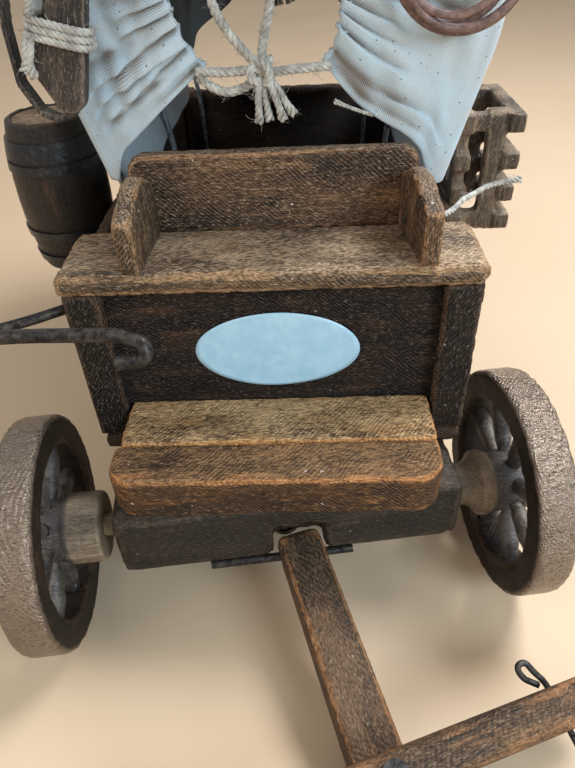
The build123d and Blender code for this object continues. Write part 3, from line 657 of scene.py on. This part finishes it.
def cover_sheet(columns=300, tunnel_rows=52, seam=0.7):
    """The whole cover as a grid of points, with its hollowness and its places on the flat cloth in metres."""
    across = np.linspace(0.0, 1.0, columns)
    front, front_hollow, front_place = cover_end(across, FRONT_SEED)
    rear, rear_hollow, rear_place = cover_end(across, REAR_SEED)
    rear = rear[::-1, ::-1] * (-1.0, -1.0, 1.0) + (0.0, COVER_NEAR + COVER_FAR, 0.0)
    first = PANEL_Y + BEND
    ys = np.linspace(first, COVER_NEAR + COVER_FAR - first, tunnel_rows)
    tunnel, tunnel_hollow = [], []
    pull_lines, _ = pleats(across, *FINE_PLEATS, FRONT_SEED)
    middling = np.sin(math.pi * np.clip(across, 0.02, 0.98))
    for y in ys:
        if y < HOOP_YS[1]:
            ring = cloth_outline(across, np.full_like(across, y - COVER_NEAR), 0.0)
        else:
            ring = cloth_outline(1.0 - across, np.full_like(across, COVER_FAR - y), 0.0) * (-1.0, 1.0)
        slack = float(eased(min(abs(y - hoop) for hoop in HOOP_YS), *SLACK_GROWS))
        sag = slack * (1.2 + 0.4 * middling + 0.7 * swell(across, (y - first) / SWELL_LENGTH, SAG_SEED))
        sag = sag + PULL_DEPTH * pull_lines * math.exp(-(y - first) / PULL_FADE)
        slope = np.gradient(ring, axis=0)
        inwards = np.stack([slope[:, 1], -slope[:, 0]], axis=-1)
        ring = ring + inwards / np.linalg.norm(inwards, axis=-1, keepdims=True) * sag[:, None]
        tunnel.append(at_depth(ring, y))
        # The deeper the cloth sags between the hoops, the more painted shade it gets.
        tunnel_hollow.append(np.clip(0.12 * sag, 0.0, 0.5))
    grid = np.concatenate([front, np.array(tunnel), rear])
    hollows = np.concatenate([front_hollow, np.array(tunnel_hollow), rear_hollow[::-1, ::-1]])
    along = np.concatenate([front_place, front_place[-1] + seam + ys - ys[0]])
    along = np.concatenate([along, along[-1] + seam + rear_place[-1] - rear_place[::-1]])
    places = np.stack(np.meshgrid(across * length_of(horseshoe()), along), axis=-1) * MM
    return grid, hollows, places


def in_mm(tree, kind="Object"):
    """The place on a piece, or on its flat cloth, in millimetres."""
    return arrow("SCALE", put(tree, "ShaderNodeTexCoord").outputs[kind], 1.0 / MM)


def cloth_weave(warm, cool, hollow, gap):
    """Plain-woven cotton read from its place on the flat cloth: ribs, slubs and pin holes, and painted shade
    in the folds' valleys.
    """
    made, tree, shader = new_finish("cotton")
    flat = in_mm(tree, "UV")
    weave = times(*[bands(flat, direction, 1.0 / pitch / 6.28 * math.pi, 1.1, 1.0, 2.0)
                    for direction, pitch in (("X", RIB_PITCH), ("Y", CROSS_PITCH))])
    slubs = [noise(flat, scale, 3.0, 0.6) for scale in ((0.12, 1.7, 1.0), (1.7, 0.12, 1.0))]
    stain = noise(flat, (0.06, 0.06, 1.0), 4.0, 0.6)
    valley = mark(tree, "hollow")
    tone = blend(ramp(plus(stain, times(slubs[0], 0.5)), 0.5, 1.0), cool, warm)
    # Painted shade: the cloth darkens towards the hollow colour in the folds' valleys and where it sags, and
    # its weave gaps show darker there too.
    deep = times(ramp(sum_of("MULTIPLY_ADD", stain, 0.3, valley), 0.32, 0.92), 0.9)
    tone = blend(deep, tone, hollow)
    away, chance = scattered(flat, 0.62)
    holes = times(ramp(away, 0.15, 0.07), ramp(chance, 0.55, 0.80))
    thin_and_fold_shaded = ramp(sum_of("MULTIPLY_ADD", valley, 0.8, times(stain, 0.5)), 0.34, 0.90)
    gaps = times(ramp(weave, 0.26, 0.04), sum_of("MULTIPLY_ADD", thin_and_fold_shaded, 0.75, 0.30))
    tone = blend(sum_of("ADD", gaps, holes, clamp=True), tone, gap)
    plug(shader, {
        "Base Color": tone, "Normal": relief(plus(weave, plus(*slubs)), 0.55, 0.25), "Roughness": 0.92,
        "Specular IOR Level": 0.12, "Sheen Weight": 0.12, "Subsurface Weight": 0.2,
        "Subsurface Radius": (0.0010, 0.0009, 0.0008), "Subsurface Scale": 1.0})
    return made


def smooth_mesh(name, corners, faces):
    """A smooth mesh in the frame from corners in mm."""
    mesh = bpy.data.meshes.new(name)
    mesh.from_pydata((corners * MM + np.array(DATUM)).tolist(), [], faces)
    mesh.polygons.foreach_set("use_smooth", [True] * len(mesh.polygons))
    return mesh


def grid_mesh(name, points, marks, places):
    """A mesh from a grid of points in mm, with a hollow mark and a flat place in metres for each point."""
    rows, columns = points.shape[:2]
    numbers = np.arange(rows * columns).reshape(rows, columns)
    faces = np.stack([numbers[:-1, :-1], numbers[:-1, 1:], numbers[1:, 1:], numbers[1:, :-1]], axis=-1)
    faces = faces.reshape(-1, 4)
    mesh = smooth_mesh(name, points.reshape(-1, 3), faces.tolist())
    hollow = mesh.attributes.new("hollow", "FLOAT", "POINT")
    hollow.data.foreach_set("value", marks.reshape(-1).astype(np.float32))
    flat = mesh.uv_layers.new(name="cloth")
    corners = places.reshape(-1, 2)[faces.reshape(-1)]
    flat.data.foreach_set("uv", corners.reshape(-1).astype(np.float32))
    return mesh


cloth_grid, hollows, cloth_places = cover_sheet()
sheet = set_down("cover_sheet", grid_mesh("cover_sheet", cloth_grid, hollows, cloth_places))
layer = sheet.modifiers.new("cloth", "SOLIDIFY")
layer.thickness, layer.offset, layer.use_even_offset = CLOTH_THICK * MM, -1.0, False
cover = finished(sheet, "cotton_cover")
# hollow is the colour of the painted shade in the folds' valleys and sags.
cover.data.materials.append(cloth_weave(
    warm=(0.59, 0.64, 0.66), cool=(0.58, 0.74, 0.85), hollow=(0.27, 0.19, 0.12), gap=(0.085, 0.080, 0.078)))
settle(cover, "cover_cloth")


# The three hoops are 2 mm wire, bent by hand and pushed down between the floor and the walls.
# The front one leans in on the wagon's right, where the cloth is pulled tight over it.
HOOP_INSET, HOOP_POINTS, WIRE_RADIUS = 2.65, 110, 1.0
HOOP_HEEL = np.array([[-36.8, 50.2], [-37.2, 74.0]])
LEAN_IN, LEAN_ENDS = 3.7, (137.0, 190.0)
SWAY, SWAY_LENGTH = 0.35, 17.0


def turned_along(points):
    """Two crosswise vectors at each point of a line, which turn as little as they can."""
    ahead = np.gradient(points, axis=0)
    ahead /= np.linalg.norm(ahead, axis=1, keepdims=True)
    side = np.cross(ahead[0], np.eye(3)[np.argmin(np.abs(ahead[0]))])
    sides = []
    for direction in ahead:
        side = side - direction * side.dot(direction)
        side = side / np.linalg.norm(side)
        sides.append(side)
    sides = np.array(sides)
    return sides, np.cross(ahead, sides)


def ring_faces(rings, sides, start=0):
    """The faces between closed rings of corners that follow one another."""
    faces = []
    for low in range(start, start + (rings - 1) * sides, sides):
        for here in range(sides):
            after = (here + 1) % sides
            faces.append((low + here, low + after, low + sides + after, low + sides + here))
    return faces


def tube(points, radius, sides=8, flat=1.0):
    """Corners and faces of a closed round tube along a line. The radius may change from point to point."""
    points = np.asarray(points, float)
    aside, up = turned_along(points)
    angles = np.arange(sides) * 2 * math.pi / sides
    radius = np.broadcast_to(radius, len(points))[:, None, None]
    ring = np.cos(angles)[None, :, None] * aside[:, None] + flat * np.sin(angles)[None, :, None] * up[:, None]
    corners = (points[:, None] + radius * ring).reshape(-1, 3)
    ends = [tuple(range(sides))[::-1], tuple(range((len(points) - 1) * sides, len(points) * sides))]
    return corners, ring_faces(len(points), sides) + ends


def solid(name, parts, material):
    """One smooth object in the frame from parts given in mm."""
    faces, start = [], 0
    for part_corners, part_faces in parts:
        faces += [tuple(start + number for number in face) for face in part_faces]
        start += len(part_corners)
    mesh = smooth_mesh(name, np.concatenate([corners for corners, _ in parts]), faces)
    shape = bmesh.new()
    shape.from_mesh(mesh)
    bmesh.ops.recalc_face_normals(shape, faces=shape.faces)
    shape.to_mesh(mesh)
    shape.free()
    mesh.materials.append(material)
    return set_down(name, mesh)


def wire_metal(name, dull, bright, metallic=0.85, roughness=0.45):
    """Drawn wire, dull where it is handled little, with fine scratches."""
    made, tree, shader = new_finish(name)
    own = in_mm(tree)
    tarnish = noise(own, 0.5, 4.0, 0.65)
    scratch = noise(own, 3.5, 2.0, 0.7)
    share = ramp(sum_of("MULTIPLY_ADD", scratch, 0.4, tarnish), 0.55, 0.85)
    rough = sum_of("MULTIPLY_ADD", tarnish, -0.25, roughness + 0.15)
    plug(shader, {"Base Color": blend(share, dull, bright), "Roughness": rough, "Metallic": metallic,
                  "Normal": relief(scratch, 0.25, 0.1)})
    return made


hoop_line = np.vstack([HOOP_HEEL, horseshoe(HOOP_INSET, HOOP_POINTS), (HOOP_HEEL * (-1.0, 1.0))[::-1]])
x, z = rounded(hoop_line, 2).T
hoops = []
for number, y in enumerate(HOOP_YS):
    lean = LEAN_IN * (1.0 - eased(z, *LEAN_ENDS)) * (x < 0) if number == 0 else 0.0
    sway = SWAY * np.sin(z / SWAY_LENGTH + number * 2.0)
    hoops.append(tube(np.stack([x + lean, y + sway, z], axis=-1), WIRE_RADIUS))
grey_wire = wire_metal("grey_wire", dull=(0.13, 0.16, 0.19), bright=(0.42, 0.47, 0.52))
settle(solid("wire_hoops", hoops, grey_wire), "cover_hoops")


# The cover's string is soft three-ply cotton twine, knotted in the middle of each mouth and cut short.
# At the front it is tied in a bow, whose loop stands up and ends in the knot.
# A cut end of the cloth's own thread sticks out of the hem on the wagon's left, over the load.
TWINE_RADIUS, FRAYED, LINT_RADIUS = 1.0, 3.2, 0.035
KNOT_STRANDS = (
    ((-14.6, 23.3, 137.4), (-9.0, 23.0, 137.0), (-4.2, 22.4, 137.3), (-1.4, 21.6, 137.9), (0.8, 21.0, 137.4),
     (2.4, 22.2, 136.8), (5.5, 22.9, 137.1), (14.8, 23.3, 137.5)),
    ((-1.8, 21.8, 139.0), (0.3, 20.4, 139.2), (1.5, 19.7, 137.6), (1.3, 20.0, 135.8), (0.2, 21.6, 134.7),
     (0.0, 23.6, 135.6), (0.9, 24.2, 137.6), (1.7, 23.2, 139.6)),
    ((-0.3, 22.8, 138.9), (-2.2, 21.6, 138.5), (-2.9, 20.4, 137.0), (-2.0, 20.3, 135.5), (-0.4, 21.4, 134.9),
     (0.4, 23.0, 135.8)),
    ((-14.3, 23.2, 136.2), (-11.6, 22.7, 134.2), (-8.3, 22.3, 132.9), (-4.8, 21.8, 133.8),
     (-2.2, 21.4, 135.2), (0.3, 21.8, 136.4)),
)
BOW_ROOT = ((0.5, 23.74, 143.5), (0.15, 23.6, 141.8), (-0.1, 23.1, 140.2), (0.0, 22.4, 138.8),
            (0.5, 21.8, 137.6))
TAILS = (
    ((-0.6, 21.2, 136.0), (-1.2, 20.6, 133.2), (-1.3, 20.6, 130.0), (-1.4, 20.8, 126.8)),
    ((0.2, 21.6, 135.8), (0.1, 21.3, 132.6), (0.6, 21.2, 129.6), (0.9, 21.4, 127.2)),
    ((0.9, 20.8, 136.0), (2.2, 20.1, 133.2), (3.2, 20.2, 130.2), (4.0, 20.5, 127.3)),
    ((1.4, 21.4, 136.2), (3.3, 20.9, 133.4), (4.9, 20.8, 130.6), (6.4, 21.0, 128.3)),
)
BOW_ROUTE = (
    (-1.6, 21.7, 139.0), (-4.9, 21.4, 142.6), (-8.4, 21.4, 147.2), (-10.4, 22.1, 153.0), (-10.4, 23.0, 160.2),
    (-6.4, 23.8, 164.2), (-0.8, 24.2, 164.2), (3.2, 24.2, 160.2), (3.2, 24.1, 154.4), (2.0, 23.9, 149.0),
    (0.2, 23.7, 142.4),
)
LOOSE_THREAD = ((24.4, 24.0, 126.6), (22.0, 23.3, 127.6), (19.0, 22.8, 128.8), (15.6, 23.1, 130.2))


def cotton_twine(pale, shade):
    """Grey white cotton fibres that run along each ply."""
    made, tree, shader = new_finish("twine")
    own = in_mm(tree)
    fibre = noise(own, 5.0, 3.0, 0.7)
    share = ramp(plus(times(fibre, 0.7), noise(own, 0.35, 3.0, 0.6)), 0.62, 1.05)
    plug(shader, {"Base Color": blend(share, shade, pale), "Roughness": 0.95, "Specular IOR Level": 0.1,
                  "Sheen Weight": 0.3, "Normal": relief(fibre, 0.5, 0.2)})
    return made


def plies(line, radius=TWINE_RADIUS, lay=4.6, flare=0.0, turn=0.0):
    """The three twisted plies of a string along a line in mm; flare spreads them at its cut end."""
    length = length_of(line)
    shares = np.linspace(0.0, 1.0, max(8, int(length / lay * 11)))
    line = walk(line, shares)
    aside, up = turned_along(line)
    spread = 1.0 + flare * eased((1.0 - shares) * length, FRAYED, 0.0)
    made = []
    for ply in range(3):
        angle = (shares * length / lay * 2 * math.pi + turn + ply * 2 * math.pi / 3)[:, None]
        centre = line + 0.50 * radius * spread[:, None] * (np.cos(angle) * aside + np.sin(angle) * up)
        thick = 0.56 * radius * (1.0 + 0.08 * np.sin(7.0 * shares * length / lay + ply * 2.0))
        made.append(tube(centre, thick, 6))
    return made


def lint_tree():
    """Short curled fibres that stand up from a surface."""
    tree, given, result = new_tree(
        "Lint", "GeometryNodeTree",
        {"Geometry": "Geometry", "Density": "Float", "Length": "Float", "Thickness": "Float", "Seed": "Int",
         "Material": "Material"},
        {"Geometry": "Geometry"})
    spots = put(tree, "GeometryNodeDistributePointsOnFaces",
                {"Mesh": given["Geometry"], "Density": given["Density"], "Seed": given["Seed"]}).outputs
    curl = put(tree, "GeometryNodeCurveQuadraticBezier", {
        "Resolution": 4, "Start": (0.0, 0.0, 0.0), "Middle": (0.2, 0.1, 0.8), "End": (0.9, -0.2, 0.9)})
    profile = put(tree, "GeometryNodeCurvePrimitiveCircle", {"Resolution": 3, "Radius": given["Thickness"]})
    hair = put(tree, "GeometryNodeCurveToMesh",
               {"Curve": curl.outputs[0], "Profile Curve": profile.outputs[0]})
    chance = put(tree, "FunctionNodeRandomValue", {2: 0.4, 3: 1.3, "Seed": given["Seed"]}, data_type="FLOAT")
    spin = put(tree, "FunctionNodeRandomValue", {0: (-0.9, -0.9, -3.1), 1: (0.9, 0.9, 3.1), "Seed": 5},
               data_type="FLOAT_VECTOR")
    spin = put(tree, "FunctionNodeEulerToRotation", {0: spin.outputs[0]})
    leaning = put(tree, "FunctionNodeRotateRotation", {0: spots["Rotation"], 1: spin.outputs[0]},
                  rotation_space="LOCAL")
    size = times(chance.outputs[1], given["Length"])
    hairs = put(tree, "GeometryNodeInstanceOnPoints",
                {"Points": spots["Points"], "Instance": hair.outputs[0], "Rotation": leaning.outputs[0],
                 "Scale": put(tree, "ShaderNodeCombineXYZ", {0: size, 1: size, 2: size}).outputs[0]})
    real = put(tree, "GeometryNodeRealizeInstances", {"Geometry": hairs.outputs[0]})
    made = put(tree, "GeometryNodeSetMaterial", {"Geometry": real.outputs[0], "Material": given["Material"]})
    plug(result, {0: made.outputs[0]})
    return tree


LINT = lint_tree()
twine = cotton_twine((0.56, 0.55, 0.50), (0.26, 0.24, 0.21))


def on_wagon(piece):
    """A small thing with no solid in the CAD model rides on the wagon's box."""
    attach(piece, "wagon")


def lint_on(piece, count, length, seed):
    """Loose fibres on a piece of twine, as a piece of their own."""
    area = sum(face.area for face in piece.data.polygons)
    scratch = set_down(piece.name + "_lint", piece.data)
    grow(scratch, LINT, {"Density": count / area, "Length": length * MM, "Thickness": LINT_RADIUS / length,
                         "Seed": seed, "Material": twine})
    on_wagon(finished(scratch, piece.name + "_lint"))


def route_line(name, route):
    """Points in the frame, read from the smooth NURBS line whose control points are the cord's route."""
    curve = bpy.data.curves.new(name, "CURVE")
    curve.dimensions = "3D"
    spline = curve.splines.new("NURBS")
    spline.points.add(len(route) - 1)
    for point, place in zip(spline.points, route):
        point.co = (*at(*place), 1.0)
    spline.order_u, spline.use_endpoint_u, spline.resolution_u = 3, True, 4
    scratch = set_down(name, curve)
    line = bpy.data.meshes.new_from_object(scratch)
    points = [Vector(vertex.co) for vertex in line.vertices]
    bpy.data.objects.remove(scratch)
    bpy.data.meshes.remove(line)
    bpy.data.curves.remove(curve)
    return points


def in_drawing(points):
    return np.array([(point - DATUM) / MM for point in points])


for name, strands, flip, move in (("drawstring_front", (*KNOT_STRANDS, BOW_ROOT), 1.0, 0.0),
                                  ("drawstring_rear", KNOT_STRANDS, -1.0, COVER_NEAR + COVER_FAR)):
    parts = []
    for strand in strands:
        parts += plies(rounded(strand) * (1.0, flip, 1.0) + (0.0, move, 0.0))
    for tail in TAILS:
        parts += plies(rounded(tail) * (1.0, flip, 1.0) + (0.0, move, 0.0), 0.8, 4.0, flare=0.9)
    lint_on(settle(solid(name + "_twine", parts, twine), name), 260, 1.5, 3)
bow_path = route_line("bow_route", BOW_ROUTE)
bow = settle(solid("bow_loop", plies(in_drawing(bow_path)), twine), "drawstring_bow")
lint_on(bow, 220, 1.5, 4)
on_wagon(solid("loose_thread", plies(rounded(LOOSE_THREAD), 0.42, 3.0, flare=1.1), twine))


# A smooth brown leather cord hangs coiled on the cover's front corner, as a rider's line.
# It is wound by hand in loose turns that fan out at the bottom, and twine ties it to the front hoop.
COIL_TURNS, TURN_POINTS, COIL_RADIUS, CORD_RADIUS = 4.4, 14, 11.8, 0.85
COIL_CENTRE = (39.0, 17.0, 157.0)
COIL_TIE = (
    (38.2, 27.5, 185.2), (38.6, 23.6, 181.0), (38.9, 19.0, 175.2), (39.0, 14.6, 172.6), (39.1, 12.6, 169.4),
    (39.0, 13.9, 166.2), (39.2, 17.4, 165.0), (39.4, 20.8, 166.4), (39.8, 21.8, 170.0), (39.9, 23.0, 176.0),
    (40.0, 27.0, 184.2),
)


def coil_route():
    """Control points of the coil's turns, each of its own size and lean."""
    points = []
    for step in range(int(COIL_TURNS * TURN_POINTS) + 1):
        turn = step / TURN_POINTS
        angle = 2 * math.pi * turn + 0.9
        reach = COIL_RADIUS + 1.7 * math.sin(2 * math.pi * turn * 0.27 + 0.3)
        points.append((
            COIL_CENTRE[0] + 1.1 * math.sin(turn * 2.1) + reach * math.cos(angle),
            COIL_CENTRE[1] + 1.75 * math.sin(2 * math.pi * turn * 0.23 + 0.4) + 0.5 * math.sin(angle * 2.0),
            COIL_CENTRE[2] + 0.7 * math.cos(turn * 2.9) + reach * math.sin(angle),
        ))
    return points


def brown_leather(dark, pale):
    """Smooth leather with pale clouds and fine cracks."""
    made, tree, shader = new_finish("leather")
    own = in_mm(tree)
    cloud, crack = noise(own, 0.6, 3.0, 0.6), noise(own, 4.0, 3.0, 0.7)
    plug(shader, {"Base Color": blend(ramp(cloud, 0.35, 0.7), dark, pale), "Roughness": 0.42,
                  "Normal": relief(crack, 0.3, 0.15)})
    return made


coil_path = route_line("coil_route", coil_route())
leather = brown_leather(dark=(0.105, 0.058, 0.050), pale=(0.225, 0.135, 0.115))
coil = solid("leather_coil", [tube(in_drawing(coil_path), CORD_RADIUS, flat=0.8)], leather)
settle(coil, "lariat_coil")
on_wagon(solid("coil_tie", plies(rounded(COIL_TIE), 0.6, 3.4), twine))


# The wheels are sawn rings with eight turned spokes let into them and into a turned, ringed hub.
# Rings and spokes are stained dark, the treads are painted with a dull brown metal paint, and the hubs'
# middles are dark, while their ends and the spindles were left nearly bare.
RIM_TREAD, HUB_MIDDLE = (1.3, 0.6), 6.6


def give(node, material):
    """A CAD node that keeps its shape gets a new material."""
    for place in frame["nodes"][node].material_slots:
        place.material = material


def mark_coat(piece, turn, part_of):
    """Marks where a piece is painted: part_of takes the distances along and from the wheel's axle, in mm."""
    low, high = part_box(piece.name.rsplit("_", 2)[0] + "_rim")
    places = np.empty(len(piece.data.vertices) * 3, np.float32)
    piece.data.vertices.foreach_get("co", places)
    places = (places.reshape(-1, 3) - np.array((low + high) / 2)) / MM
    axle = np.array([math.cos(turn), math.sin(turn), 0.0])
    along = places @ axle
    away = np.linalg.norm(places - along[:, None] * axle, axis=1)
    coat = piece.data.attributes.new("coat", "FLOAT", "POINT")
    coat.data.foreach_set("value", part_of(along, away).astype(np.float32))


def tread(along, away):
    """The rim's outer face, in mm from its edge."""
    return eased(away, away.max() - RIM_TREAD[0], away.max() - RIM_TREAD[1])


def within_wheel(along, away):
    """The hub's middle, in mm from the wheel's own."""
    return eased(HUB_MIDDLE - np.abs(along), 0.0, 0.8)


rim_stain = stained_wood(
    "rim_stain", (0.006, 0.004, 0.003), (0.026, 0.015, 0.010), (0.13, 0.075, 0.045), (0.13, 0.09, 0.06),
    brown_share=0.45, rub=0.45, dust=0.1, saw=0.6, bump=1.0, grit=0.3, shine=0.2, rough=-0.05,
    coat=((0.27, 0.215, 0.17), 1.0, 0.22))
spoke_stain = stained_wood(
    "spoke_stain", (0.020, 0.018, 0.018), (0.105, 0.095, 0.092), (0.22, 0.18, 0.15), HOUSE_DUST,
    brown_share=0.5, rub=0.6, dust=0.3, saw=0.1, bump=0.5, grit=0.4, shine=0.6, rough=-0.16)
hub_stain = stained_wood(
    "hub_stain", (0.11, 0.080, 0.055), (0.27, 0.20, 0.135), (0.50, 0.37, 0.24), HOUSE_DUST,
    brown_share=0.55, rub=0.6, dust=0.3, saw=0.1, bump=0.5, grit=0.3, coat=((0.050, 0.046, 0.048), 0.0, 0.45))
for axle, turn, coarser in (("front", AXLE_TURN, 0.0), ("rear", 0.0, 0.35)):
    grain = (0.0, 0.0, turn)
    for name in (axle + "_left", axle + "_right"):
        rim = weathered(name + "_rim", grain, 0.75 + coarser, 0.4, rim_stain, ridges=0.30, spread=4)
        mark_coat(rim, math.radians(-turn), tread)
        weathered(name + "_spokes", grain, 0.55 + coarser, 0.25, spoke_stain, ridges=0.08, spread=3)
        hub = weathered(name + "_hub", grain, 0.50 + coarser, 0.15, hub_stain, ridges=0.04, spread=3)
        mark_coat(hub, math.radians(-turn), within_wheel)
    give(axle + "_spindles", stained_wood(
        axle + "_spindles_wood", (0.15, 0.105, 0.065), (0.36, 0.265, 0.165), (0.56, 0.44, 0.29), HOUSE_DUST,
        brown_share=0.6, rub=0.6, dust=0.1, saw=0.1, bump=0.4, grit=0.3, turn=(0.0, 0.0, math.radians(turn))))


# The barrel is turned wood scored into staves and stained nearly black, bound with shiny black bands.
# It is glued to the box's right wall, and the slatted crate, made of sawn sticks, to the left wall.
# Twine ties the crate, and its other end lies behind the seat's arm.
CRATE_ROUTE = ((49.0, 30.0, 103.0), (54.0, 38.0, 101.0), (60.0, 45.0, 100.8), (68.8, 45.6, 101.8))
CRATE_TAIL = ((49.7, 31.1, 102.7), (48.2, 28.4, 102.8), (46.2, 25.6, 102.5), (43.6, 23.2, 102.2),
              (40.2, 21.0, 102.1))


def black_band(black, rubbed):
    """Shiny black bands, rubbed grey and dull in places."""
    made, tree, shader = new_finish("band")
    rub = noise(in_mm(tree), 0.7, 4.0, 0.65)
    plug(shader, {"Base Color": blend(ramp(rub, 0.5, 0.75), black, rubbed),
                  "Roughness": sum_of("MULTIPLY_ADD", rub, 0.4, 0.12), "Normal": relief(rub, 0.3, 0.3)})
    return made


barrel_stain = stained_wood(
    "barrel_stain", (0.007, 0.005, 0.004), (0.018, 0.010, 0.007), (0.12, 0.060, 0.032), (0.13, 0.09, 0.065),
    brown_share=0.42, rub=0.6, dust=0.12, saw=0.1, grit=0.4, rough=-0.14)
crate_stain = stained_wood(
    "crate_stain", (0.040, 0.027, 0.018), (0.165, 0.112, 0.074), (0.38, 0.27, 0.17), HOUSE_DUST,
    brown_share=0.55, rub=0.7, dust=0.5, saw=0.4)
weathered("barrel", ALONG_Z, 0.6, 0.35, barrel_stain, ridges=0.1, spread=3)
weathered("barrel_lid", ALONG_X, 0.5, 0.1, seat_stain, ridges=0.15, spread=3)
give("barrel_hoops", black_band(black=(0.006, 0.008, 0.011), rubbed=(0.045, 0.040, 0.036)))
weathered("crate", ALONG_Z, 0.7, 0.5, crate_stain, ridges=0.15, spread=3)
crate_string = solid("crate_twine", plies(rounded(CRATE_ROUTE), 0.75, 3.6, flare=0.8), twine)
lint_on(settle(crate_string, "crate_string"), 90, 1.4, 6)
on_wagon(solid("crate_string_tail", plies(rounded(CRATE_TAIL), 0.75, 3.6), twine))


# A small ox yoke hangs upright at the cover's front corner, its bent bow under its lower end.
# Twine goes round its neck in three turns and hangs down with frayed ends.
YOKE_LEAN = 13.7
YOKE_TURN = math.radians(YOKE_LEAN)
YOKE_FOOT = np.array([-38.9, 16.0, 131.9])
YOKE_LEFT = np.array([-math.cos(YOKE_TURN), 0.0, math.sin(YOKE_TURN)])
YOKE_UP = np.array([math.sin(YOKE_TURN), 0.0, math.cos(YOKE_TURN)])
NECK_WIDTH, NECK_THICK = 11.0, 4.6
WRAPS, WRAP_FOOT, WRAP_STEP = 3, 12.4, 1.5
WRAP = ((-0.7, NECK_THICK + 0.6, 0.0), (-0.9, -0.7, 0.2), (NECK_WIDTH * 0.5, -1.0, 0.4),
        (NECK_WIDTH + 0.7, -0.7, 0.6), (NECK_WIDTH + 0.7, NECK_THICK + 0.7, 0.9),
        (NECK_WIDTH * 0.5, NECK_THICK + 0.8, 1.2))
YOKE_TAILS = (
    ((10.9, -1.3, 13.6), (11.7, -1.6, 11.0), (11.2, -1.5, 8.2), (11.9, -1.3, 6.0)),
    ((10.4, -1.2, 13.2), (10.2, -1.7, 10.4), (10.7, -1.6, 7.4), (9.7, -1.4, 5.4)),
    ((11.0, -1.0, 16.6), (9.8, -1.8, 21.0), (10.3, -1.6, 27.0), (9.4, -1.4, 34.0), (10.4, -1.2, 42.0)),
)


def on_yoke(aside, back, up):
    """A place by the yoke: mm to its left, behind its face, and up along it."""
    return YOKE_FOOT + aside * YOKE_LEFT + (0.0, back, 0.0) + up * YOKE_UP


def yoke_tie():
    """The twine's turns round the yoke's neck and its three hanging or rising ends."""
    wraps = [on_yoke(aside, back, WRAP_FOOT + WRAP_STEP * turn + rise)
             for turn in range(WRAPS) for aside, back, rise in WRAP]
    parts = plies(rounded(wraps, 2), 0.8, 3.6, turn=1.0)
    for route in YOKE_TAILS:
        parts += plies(rounded([on_yoke(*place) for place in route]), 0.75, 3.6, flare=0.9)
    return parts


yoke_stain = stained_wood(
    "yoke_stain", (0.014, 0.012, 0.012), (0.075, 0.052, 0.040), (0.22, 0.17, 0.13), HOUSE_DUST,
    brown_share=0.45, rub=0.7, dust=0.55, saw=0.1, grit=0.6)
weathered("ox_yoke", (0.0, 90.0 - YOKE_LEAN, 0.0), 0.45, 0.5, yoke_stain, ridges=0.15, spread=4)
weathered("ox_bow", (0.0, 90.0 - YOKE_LEAN, 0.0), 0.4, 0.1, yoke_stain, ridges=0.06, spread=2)
lint_on(settle(solid("yoke_twine", yoke_tie(), twine), "yoke_tie"), 220, 1.5, 8)


# The wire handle on the right wall, the pins and the cross bar's eyes are dull black iron wire.
# The handle is bent cold and stuck in the wall, and the eyes are twisted fast round the bar.
iron = wire_metal("iron", dull=(0.012, 0.011, 0.011), bright=(0.070, 0.062, 0.055), metallic=0.7,
                  roughness=0.5)
for node in ("brake_handle", "king_pin", "pole_hinge_pin", "cross_bar_peg", "cross_bar_wires"):
    give(node, iron)


# A small oval paper label is stuck on the front panel, by its back face.
# It is blank, and its edge has begun to lift.
LABEL_HALF_WIDTH, LABEL_HALF_HEIGHT, PAPER_THICK = 21.0, 11.2, 0.12
LABEL_X, LABEL_Y, LABEL_Z, MIDDLE_Y = 0.5, 3.86, 75.8, 3.7
EDGE_LIFT, RIPPLE = 0.28, 0.03


def label_mesh(rings=14, columns=120):
    """The label's front as rings of corners round its middle."""
    corners = [(LABEL_X, MIDDLE_Y - PAPER_THICK, LABEL_Z)]
    for ring in range(1, rings + 1):
        share = ring / rings
        for column in range(columns):
            angle = 2 * math.pi * column / columns
            lift = EDGE_LIFT * eased(share, 0.86, 1.0) * (0.5 + 0.5 * math.sin(3 * angle + 1.0)) ** 2
            ripple = RIPPLE * math.sin(9 * angle + 4 * share) * share
            corners.append((LABEL_X + LABEL_HALF_WIDTH * share * math.cos(angle),
                            LABEL_Y - PAPER_THICK - lift - ripple,
                            LABEL_Z + LABEL_HALF_HEIGHT * share * math.sin(angle)))
    middle = [(0, 1 + (column + 1) % columns, 1 + column) for column in range(columns)]
    return np.array(corners), middle + ring_faces(rings, columns, 1)


def label_paper(blue, pale, dirt):
    """Smooth pale blue paper with specks of dirt."""
    made, tree, shader = new_finish("paper")
    own = in_mm(tree)
    cloud = noise(own, 0.25, 3.0, 0.6)
    specks = times(ramp(noise(own, 3.4, 2.0, 0.7), 0.68, 0.76), 0.5)
    tone = blend(specks, blend(ramp(cloud, 0.35, 0.7), blue, pale), dirt)
    plug(shader, {"Base Color": tone, "Roughness": 0.38, "Normal": relief(cloud, 0.2, 0.6)})
    return made


paper = label_paper(blue=(0.36, 0.60, 0.76), pale=(0.44, 0.67, 0.81), dirt=(0.30, 0.26, 0.22))
label = solid("paper_label", [label_mesh()], paper)
layer = label.modifiers.new("paper", "SOLIDIFY")
layer.thickness, layer.offset = PAPER_THICK * MM, 1.0
settle(finished(label, "oval_label"), "blank_label")
